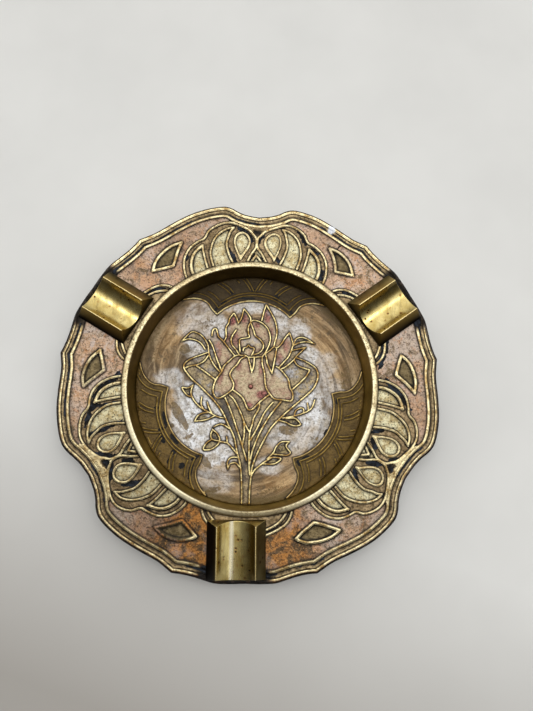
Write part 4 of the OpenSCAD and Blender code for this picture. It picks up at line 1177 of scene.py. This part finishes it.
class Nodes:
    """A node tree, built node by node."""

    def __init__(self, tree):
        self.tree = tree

    def put(self, kind, inputs, **settings):
        node = self.tree.nodes.new(kind)
        for key, value in settings.items():
            setattr(node, key, value)
        for key, value in inputs.items():
            self.feed(node.inputs[key], value)
        return node

    def feed(self, socket, value):
        """Links or sets a socket; a colour of three is read as on a screen, 0 to 255."""
        if isinstance(value, bpy.types.NodeSocket):
            self.tree.links.new(value, socket)
        elif socket.type == "RGBA" and len(value) == 3:
            socket.default_value = (*map(linear, value), 1.0)
        else:
            socket.default_value = value

    def span(self, value, low, high, to_low=0.0, to_high=1.0, **settings):
        inputs = {"Value": value, "From Min": low, "From Max": high, "To Min": to_low,
                  "To Max": to_high}
        return self.put("ShaderNodeMapRange", inputs, **settings).outputs["Result"]

    def math(self, kind, a, b):
        return self.put("ShaderNodeMath", {0: a, 1: b}, operation=kind).outputs[0]

    def times(self, *values):
        found = values[0]
        for value in values[1:]:
            found = self.math("MULTIPLY", found, value)
        return found

    def blend(self, share, a, b):
        return self.put("ShaderNodeMix", {0: share, 2: a, 3: b}).outputs[0]

    def mix(self, share, a, b, **settings):
        inputs = {0: share, 6: a, 7: b}
        return self.put("ShaderNodeMix", inputs, data_type="RGBA", **settings).outputs[2]


class Paint(Nodes):
    """One procedural material."""

    def __init__(self, name):
        self.material = bpy.data.materials.new(name)
        self.material.use_nodes = True
        super().__init__(self.material.node_tree)
        self.place = self.put("ShaderNodeTexCoord", {}).outputs["Object"]

    def read(self, *names):
        """Values kept on the mesh."""
        return [self.put("ShaderNodeAttribute", {}, attribute_name=name).outputs["Fac"]
                for name in names]

    def noise(self, size, detail=3.0, rough=0.55, shift=0.0, stretch=(1, 1, 1), warp=0.0,
              place=None):
        """Noise with features about size millimetres across."""
        where = {"Vector": place or self.place, "Scale": stretch, "Location": (shift, shift, 0)}
        inputs = {"Vector": self.put("ShaderNodeMapping", where).outputs[0],
                  "Scale": 1 / (size * MM), "Detail": detail, "Roughness": rough,
                  "Distortion": warp}
        return self.put("ShaderNodeTexNoise", inputs).outputs["Fac"]

    def cells(self, size):
        """Distance from scattered dots, size millimetres apart."""
        inputs = {"Vector": self.place, "Scale": 1 / (size * MM)}
        return self.put("ShaderNodeTexVoronoi", inputs).outputs["Distance"]

    def coats(self, base, *rows):
        """Lays colours over the base. Each row has a mask, the values between which it goes
        from none to full, the full strength and the colour."""
        for mask, low, high, full, tint in rows:
            base = self.mix(self.span(mask, low, high, 0, full), base, tint)
        return base

    def bump(self, height, depth, **under):
        """Bump whose full height is depth millimetres."""
        inputs = {"Height": height, "Distance": depth * MM, "Strength": 1.0, **under}
        return self.put("ShaderNodeBump", inputs).outputs["Normal"]

    def ragged(self, name, grain):
        """A kept value's patch with a crisp, ragged edge."""
        rough = self.math("ADD", self.read(name)[0], self.span(grain, 0.35, 0.65, -0.22, 0.22))
        return self.span(rough, 0.42, 0.56)

    def finish(self, base, metallic, roughness, **normal):
        inputs = {"Base Color": base, "Metallic": metallic, "Roughness": roughness, **normal}
        for key, value in inputs.items():
            self.feed(self.tree.nodes["Principled BSDF"].inputs[key], value)
        return self.material


def rim_material():
    """Antiqued cast brass: worn pale ridges, granular copper fields, stippled cells, lacquer."""
    m = Paint("rim_antique_brass")
    bright, soot, shell, rust, cell, panel, tarnish, chip = m.read(
        "bright", "soot", "shell", "rust", "cell", "panel", "tarnish", "chip")
    broad = m.noise(14, warp=0.8)
    patch = m.noise(7, 4, 0.6, shift=0.4, warp=1.2)
    small = m.noise(2.4, 3, 0.6, shift=3.1)
    grain = m.noise(0.7, 3, 0.7)
    glint = m.noise(0.66, 3, 0.7, shift=2.7)
    speck = m.noise(0.75, 2, 0.6, shift=6.3)
    blotch = m.noise(6, 4, 0.6, shift=9.7, warp=1.6)
    wear = m.noise(3.2, 4, 0.65, shift=5.5)
    rusty = m.coats((200, 136, 66), (patch, 0.44, 0.56, 1, (98, 78, 54)),
                    (broad, 0.5, 0.6, 0.8, (184, 160, 146)))
    field = m.coats((204, 184, 166), (broad, 0.4, 0.6, 1, (210, 172, 138)),
                    (patch, 0.54, 0.62, 0.9, (128, 108, 78)),
                    (patch, 0.44, 0.36, 0.8, (212, 196, 186)),
                    (blotch, 0.56, 0.66, 0.5, (204, 138, 82)),
                    (blotch, 0.43, 0.35, 0.7, (168, 142, 112)), (rust, 0, 1, 1, rusty),
                    (glint, 0.52, 0.64, 0.6, m.mix(rust, (244, 224, 204), (236, 176, 100))),
                    (grain, 0.52, 0.62, 0.75, (64, 46, 32)))
    cells = m.coats((255, 248, 206), (small, 0.38, 0.6, 1, (208, 186, 132)),
                    (grain, 0.52, 0.62, 0.6, (120, 98, 58)),
                    (glint, 0.54, 0.62, 0.6, (255, 250, 216)), (speck, 0.6, 0.68, 1, (36, 26, 12)))
    dim = m.coats((150, 132, 94), (small, 0.4, 0.6, 1, (112, 96, 62)),
                  (grain, 0.52, 0.64, 0.7, (66, 54, 34)))
    ground = m.coats((198, 172, 130), (small, 0.4, 0.6, 1, (140, 118, 82)),
                     (grain, 0.5, 0.62, 0.75, (50, 40, 26)))
    base = m.mix(panel, m.mix(cell, m.mix(shell, field, ground), cells), dim)
    dark = m.coats((28, 20, 10), (patch, 0.45, 0.55, 1, (13, 12, 10)))
    film = m.coats((5, 5, 6), (small, 0.48, 0.62, 1, (40, 48, 60)))
    worn = m.coats((178, 148, 94), (wear, 0.36, 0.56, 1, (250, 234, 184)),
                   (grain, 0.53, 0.64, 0.75, (112, 88, 52)))
    # Soot in the hollows, and painted shadow beside the rests, turn dark
    base = m.mix(m.times(soot, m.span(small, 0.3, 0.5, 0.85, 1)), base, dark)
    base = m.mix(m.times(m.ragged("lacquer", small), m.span(bright, 0.15, 0.5, 1, 0)), base, film)
    base = m.coats(base, (bright, 0.3, 0.62, 1, worn))
    base = m.mix(m.times(tarnish, m.span(bright, 0.2, 0.6, 1, 0.8)), base, TARNISH_TINT,
                 blend_type="MULTIPLY")
    base = m.mix(chip, base, (226, 230, 236))
    raised = m.span(bright, 0.2, 0.7)
    roughness = m.blend(raised, m.span(glint, 0.3, 0.7, 0.38, 0.58), 0.3)
    low = m.span(bright, 0.3, 0.8, 1, 0.25)
    normal = m.bump(m.times(small, low), 0.3, Normal=m.bump(m.times(grain, low), 0.3))
    return m.finish(base, m.blend(raised, 0.62, 0.92), roughness, Normal=normal)


def cup_material():
    """Bright pitted lip and a dull olive wall, with painted shade on the south lip and the far
    wall and painted highlights on the west and east lip.
    """
    m = Paint("cup_turned_brass")
    lip, wall, level, south, far, west_highlight, east_highlight = m.read(
        "lip", "wall", "level", "south", "far", "clean_west", "clean_east")
    grain = m.noise(0.8, 4, 0.7)
    patch = m.noise(6, 3)
    worn = m.noise(2.2, 4, 0.7, shift=1.4)
    # Painted highlights on the west and east lip, painted shade on the south lip
    pale = m.coats((232, 220, 178), (patch, 0.4, 0.65, 1, (204, 186, 142)),
                   (worn, 0.5, 0.64, 0.55, (142, 120, 84)),
                   (grain, 0.5, 0.64, 0.85, (112, 90, 58)), (west_highlight, 0, 1, 0.55, (250, 242, 208)),
                   (east_highlight, 0, 1, 0.55, (250, 242, 208)), (south, 0, 1, 0.6, (112, 98, 72)))
    # Painted shade on the far wall
    olive = m.coats((182, 156, 84), (patch, 0.35, 0.65, 1, (150, 126, 60)),
                    (level, 0.1, 0.9, 0.4, (88, 68, 22)), (far, 0, 1, 0.62, (70, 52, 20)))
    dull = m.coats((116, 94, 56), (patch, 0.35, 0.65, 1, (70, 54, 30)))
    base = m.mix(lip, m.mix(wall, dull, olive), pale)
    roughness = m.blend(lip, 0.42, m.span(grain, 0.3, 0.7, 0.28, 0.44))
    return m.finish(base, 0.85, roughness, Normal=m.bump(grain, 0.06))


def disc_material():
    """Tarnished floor: grey-white bloom on brown, rosy petals, dark stems, bright lines."""
    m = Paint("floor_tarnished_brass")
    (bright, soot, along, out, golden, bloom, blush, near_line, fan_shade, foot, is_petal, is_leaf,
     is_fan, dark_stroke, dark_leaf, fan_line) = m.read(
        "bright", "soot", "along", "out", "golden", "bloom", "blush", "near_line", "fan_shade",
        "foot", "petal", "leaf", "fan", "dark_stroke", "dark_leaf", "fan_line")
    # Streaks run round the disc, as brushed
    brush = m.put("ShaderNodeCombineXYZ", {0: m.times(along, BRUSH_LONG * MM),
                                           1: m.times(out, MM)}).outputs[0]
    swirl = m.noise(9, 3, 0.5, warp=0.5, place=brush)
    streak = m.noise(3, 4, 0.6, warp=0.8, place=brush)
    patch = m.noise(4, 5, 0.7, shift=2.1)
    grain = m.noise(0.95, 4, 0.75)
    mottle = m.noise(1.3, 4, 0.75, shift=8.8)
    fleck = m.noise(2.6, 4, 0.7, shift=3.3)
    wear = m.noise(3.4, 4, 0.65, shift=5.5)
    tan = m.coats((146, 112, 68), (streak, 0.38, 0.62, 1, (214, 180, 132)))
    white = m.coats((204, 198, 188), (patch, 0.42, 0.58, 1, (250, 252, 255)),
                    (grain, 0.47, 0.38, 0.6, (255, 255, 255)),
                    (grain, 0.54, 0.64, 0.6, (136, 128, 120)))
    earth = m.coats((138, 114, 72), (patch, 0.4, 0.6, 1, (100, 82, 50)))
    ground = m.coats((184, 154, 114), (swirl, 0.4, 0.6, 1, (112, 92, 66)),
                     (streak, 0.5, 0.68, 0.75, (212, 186, 146)),
                     (streak, 0.49, 0.34, 0.8, (88, 72, 50)), (golden, 0, 1, 1, tan))
    ground = m.mix(m.times(bloom, m.span(streak, 0.34, 0.5, 0.5, 1)), ground, white)
    # Next to the wall: the wall's olive foot, partly painted shade and reflection of the wall
    ground = m.coats(ground, (m.ragged("brown", mottle), 0, 1, 0.85, earth),
                     (fleck, 0.58, 0.66, 0.7, (92, 80, 60)),
                     (grain, 0.52, 0.64, 0.35, (80, 66, 48)), (foot, 0, 1, 1, (96, 80, 42)))
    rosy = m.coats((190, 122, 114), (mottle, 0.42, 0.58, 1, (84, 34, 26)))
    shadow = m.times(near_line, m.span(mottle, 0.42, 0.56, 0.35, 1))
    pale = m.times(bloom, m.span(patch, 0.44, 0.58, 0, 0.7))
    petal = m.coats((224, 208, 170), (patch, 0.4, 0.6, 1, (198, 172, 142)),
                    (mottle, 0.53, 0.62, 0.6, (158, 108, 94)),
                    (mottle, 0.45, 0.37, 0.6, (122, 104, 70)), (blush, 0, 1, 1, rosy),
                    (grain, 0.5, 0.62, 0.55, (112, 84, 64)), (shadow, 0, 1, 1, (70, 42, 30)),
                    (pale, 0, 1, 1, (208, 206, 204)))
    leaf = m.coats((204, 182, 138), (patch, 0.4, 0.6, 1, (132, 116, 92)),
                   (pale, 0, 1, 1, (206, 208, 214)), (grain, 0.49, 0.6, 0.7, (66, 56, 44)),
                   (shadow, 0, 1, 0.9, (62, 50, 36)))
    fan = m.coats((122, 98, 48), (patch, 0.4, 0.6, 1, (92, 72, 32)),
                  (grain, 0.53, 0.66, 0.6, (48, 36, 14)), (fan_shade, 0, 1, 0.7, (38, 27, 10)))
    olive = m.coats((44, 36, 22), (m.noise(1.5, 4, 0.7, shift=4.4), 0.44, 0.54, 1, (168, 148, 98)))
    base = m.mix(is_fan, m.mix(is_leaf, m.mix(is_petal, ground, petal), leaf), fan)
    base = m.coats(base, (dark_stroke, 0, 1, 0.9, (66, 62, 62)), (dark_leaf, 0, 1, 0.9, olive))
    base = m.mix(m.times(soot, m.span(m.noise(2.6), 0.3, 0.5, 0.7, 1)), base, (34, 24, 12))
    base = m.mix(m.ragged("black", mottle), base, (4, 4, 4))
    gold = m.coats((168, 132, 72),
                   (m.noise(2.6, 4, 0.65, shift=7.1), 0.42, 0.56, 1, (255, 236, 170)))
    olive_rib = m.coats((96, 76, 32), (wear, 0.36, 0.54, 1, (140, 116, 60)))
    rib = m.coats((110, 88, 44), (wear, 0.36, 0.54, 1, (178, 152, 98)),
                  (is_fan, 0, 1, 1, olive_rib), (fan_shade, 0, 1, 0.5, (70, 52, 22)))
    base = m.coats(base, (bright, 0.3, 0.62, 1, m.mix(fan_line, gold, rib)))
    raised = m.span(bright, 0.2, 0.7)
    roughness = m.blend(raised, m.span(grain, 0.3, 0.7, 0.4, 0.6), 0.32)
    normal = m.bump(m.times(grain, m.span(bright, 0.3, 0.8, 1, 0.25)), 0.25)
    return m.finish(base, m.blend(raised, 0.4, 0.88), roughness, Normal=normal)


def rest_material():
    """Polished brass with fine pits; the side slopes, mitre and trough flanks are painted dark as
    shade and dark reflection, and the front trough has a painted highlight streak.
    """
    m = Paint("rest_polished_brass")
    slope, flank, streak, drop, ridge = m.read("slope", "flank", "streak", "drop", "ridge")
    brushed = m.noise(1.4, 4, 0.65, stretch=(1, 0.08, 1))
    dots = m.cells(2.2)
    spread = m.noise(3, 2, shift=1.9)
    pit = m.times(m.span(dots, 0.19, 0.12), m.span(spread, 0.46, 0.52))
    rusty = m.times(m.span(dots, 0.36, 0.2), m.span(spread, 0.48, 0.54))
    # The front trough's streak is a painted highlight, broken by the brushing
    worn = m.times(streak, m.span(brushed, 0.38, 0.52))
    # Painted shade of the slopes, darkest at their foot
    dark = m.coats((140, 114, 56), (drop, 0, 0.85, 1, (16, 11, 4)))
    # Painted shade on the flank, slopes and mitre, and the painted highlight streak, over the brass
    base = m.coats((246, 226, 156), (m.noise(5), 0.35, 0.65, 1, (208, 182, 108)),
                   (brushed, 0.5, 0.64, 0.4, (116, 92, 40)), (rusty, 0, 1, 0.5, (176, 110, 40)),
                   (flank, 0, 1, 0.92, (72, 54, 16)), (worn, 0, 1, 0.75, (226, 220, 196)),
                   (pit, 0, 1, 1, (40, 28, 12)), (slope, 0, 1, 1, dark),
                   (ridge, 0, 1, 0.9, (228, 204, 150)))
    roughness = m.blend(slope, m.span(brushed, 0.35, 0.65, 0.18, 0.3), 0.45)
    return m.finish(base, 1.0, roughness, Normal=m.bump(m.times(pit, -1.0), 0.03))


def plain_metal(name, light, dark, metallic):
    """Metal between two tones, with a fine grain."""
    m = Paint(name)
    patch = m.noise(2)
    base = m.coats(light, (patch, 0.35, 0.65, 1, dark))
    return m.finish(base, metallic, m.span(patch, 0.3, 0.7, 0.35, 0.5),
                    Normal=m.bump(m.noise(0.4), 0.03))


# ---------------------------------------------------------------- camera, light and floor
def camera():
    """Sees the dish as the photograph does."""
    turn = (Matrix.Rotation(TURN_Z, 3, "Z") @ Matrix.Rotation(TURN_X, 3, "X")
            @ Matrix.Rotation(TURN_Y, 3, "Y"))
    centre_u, centre_v = (IMAGE_W - 1) / 2, (IMAGE_H - 1) / 2
    away = (AXIS_U - centre_u, centre_v - AXIS_V, -FOCAL_PX)
    shift = Vector([pixels / AXIS_SCALE for pixels in away])
    place = -(turn.transposed() @ shift)
    place.z += RIM_TOP
    lens = bpy.data.cameras.new("camera")
    lens.sensor_fit = "HORIZONTAL"
    lens.sensor_width = SENSOR_MM
    lens.lens = FOCAL_PX / IMAGE_W * SENSOR_MM
    lens.clip_start = NEAREST_SEEN
    eye = link("camera", lens)
    eye.matrix_world = Matrix.Translation(place * MM) @ turn.transposed().to_4x4()
    bpy.context.scene.camera = eye


def lamp(name, place, size, power):
    """Area lamp aimed at the dish; place and size in metres."""
    data = bpy.data.lights.new(name, "AREA")
    data.shape = "RECTANGLE"
    data.size, data.size_y = size
    data.energy = power
    thing = link(name, data)
    thing.location = place
    thing.rotation_euler = (-Vector(place)).to_track_quat("-Z", "Y").to_euler()


def sky():
    """Light from above and the north, and an even pale background where the camera looks."""
    world = bpy.data.worlds.new("studio")
    bpy.context.scene.world = world
    world.use_nodes = True
    n = Nodes(world.node_tree)
    toward = n.put("ShaderNodeTexCoord", {}).outputs["Generated"]

    def along(direction):
        inputs = {0: toward, 1: direction}
        return n.put("ShaderNodeVectorMath", inputs, operation="DOT_PRODUCT").outputs["Value"]

    bright = n.math("ADD", along((0, SKY_NORTH, 0)), SKY_BRIGHT)
    share = n.span(along(DIM_SIDE), DIM_FROM, DIM_TO, interpolation_type="SMOOTHSTEP")
    from_camera = n.put("ShaderNodeLightPath", {}).outputs["Is Camera Ray"]
    strength = n.blend(from_camera, n.blend(share, bright, SKY_DIM), BACKGROUND)
    background = world.node_tree.nodes["Background"]
    n.feed(background.inputs["Strength"], strength)
    n.feed(background.inputs["Color"], SKY_TINT)


def studio():
    """Sky, lamps and a plain pale floor with painted shade, softly darker toward the viewer."""
    sky()
    for name, place, size, power in LAMPS:
        lamp(name, place, size, power)
    bpy.ops.mesh.primitive_grid_add(x_subdivisions=4, y_subdivisions=4, size=FLOOR_SIZE)
    floor = bpy.context.object
    floor.name = "floor"
    m = Paint("floor_pale_painted_shade")
    place = m.put("ShaderNodeSeparateXYZ", {0: m.place}).outputs
    # Painted shade: the floor darker toward the viewer
    toward = m.math("ADD", place["Y"], m.times(place["X"], FLOOR_SHADE_SLANT))
    tone = m.coats((240, 240, 237), (m.noise(60), 0.35, 0.65, 1, (234, 234, 231)),
                   (toward, *FLOOR_SHADE_SPAN, 1, (176, 172, 166)))
    floor.data.materials.append(m.finish(tone, 0.0, 0.8))


def main():
    camera()
    studio()
    rim_relief(rim_material())
    cup(cup_material())
    disc_relief(disc_material())
    rivet(plain_metal("rivet_copper", (176, 120, 108), (120, 70, 62), 0.8))
    polished = rest_material()
    for side in SEATS:
        rest(side, polished)
    rest_rivets(plain_metal("stud_brass", (168, 142, 86), (120, 98, 56), 0.9))
    bpy.context.scene.view_settings.view_transform = "Standard"


main()
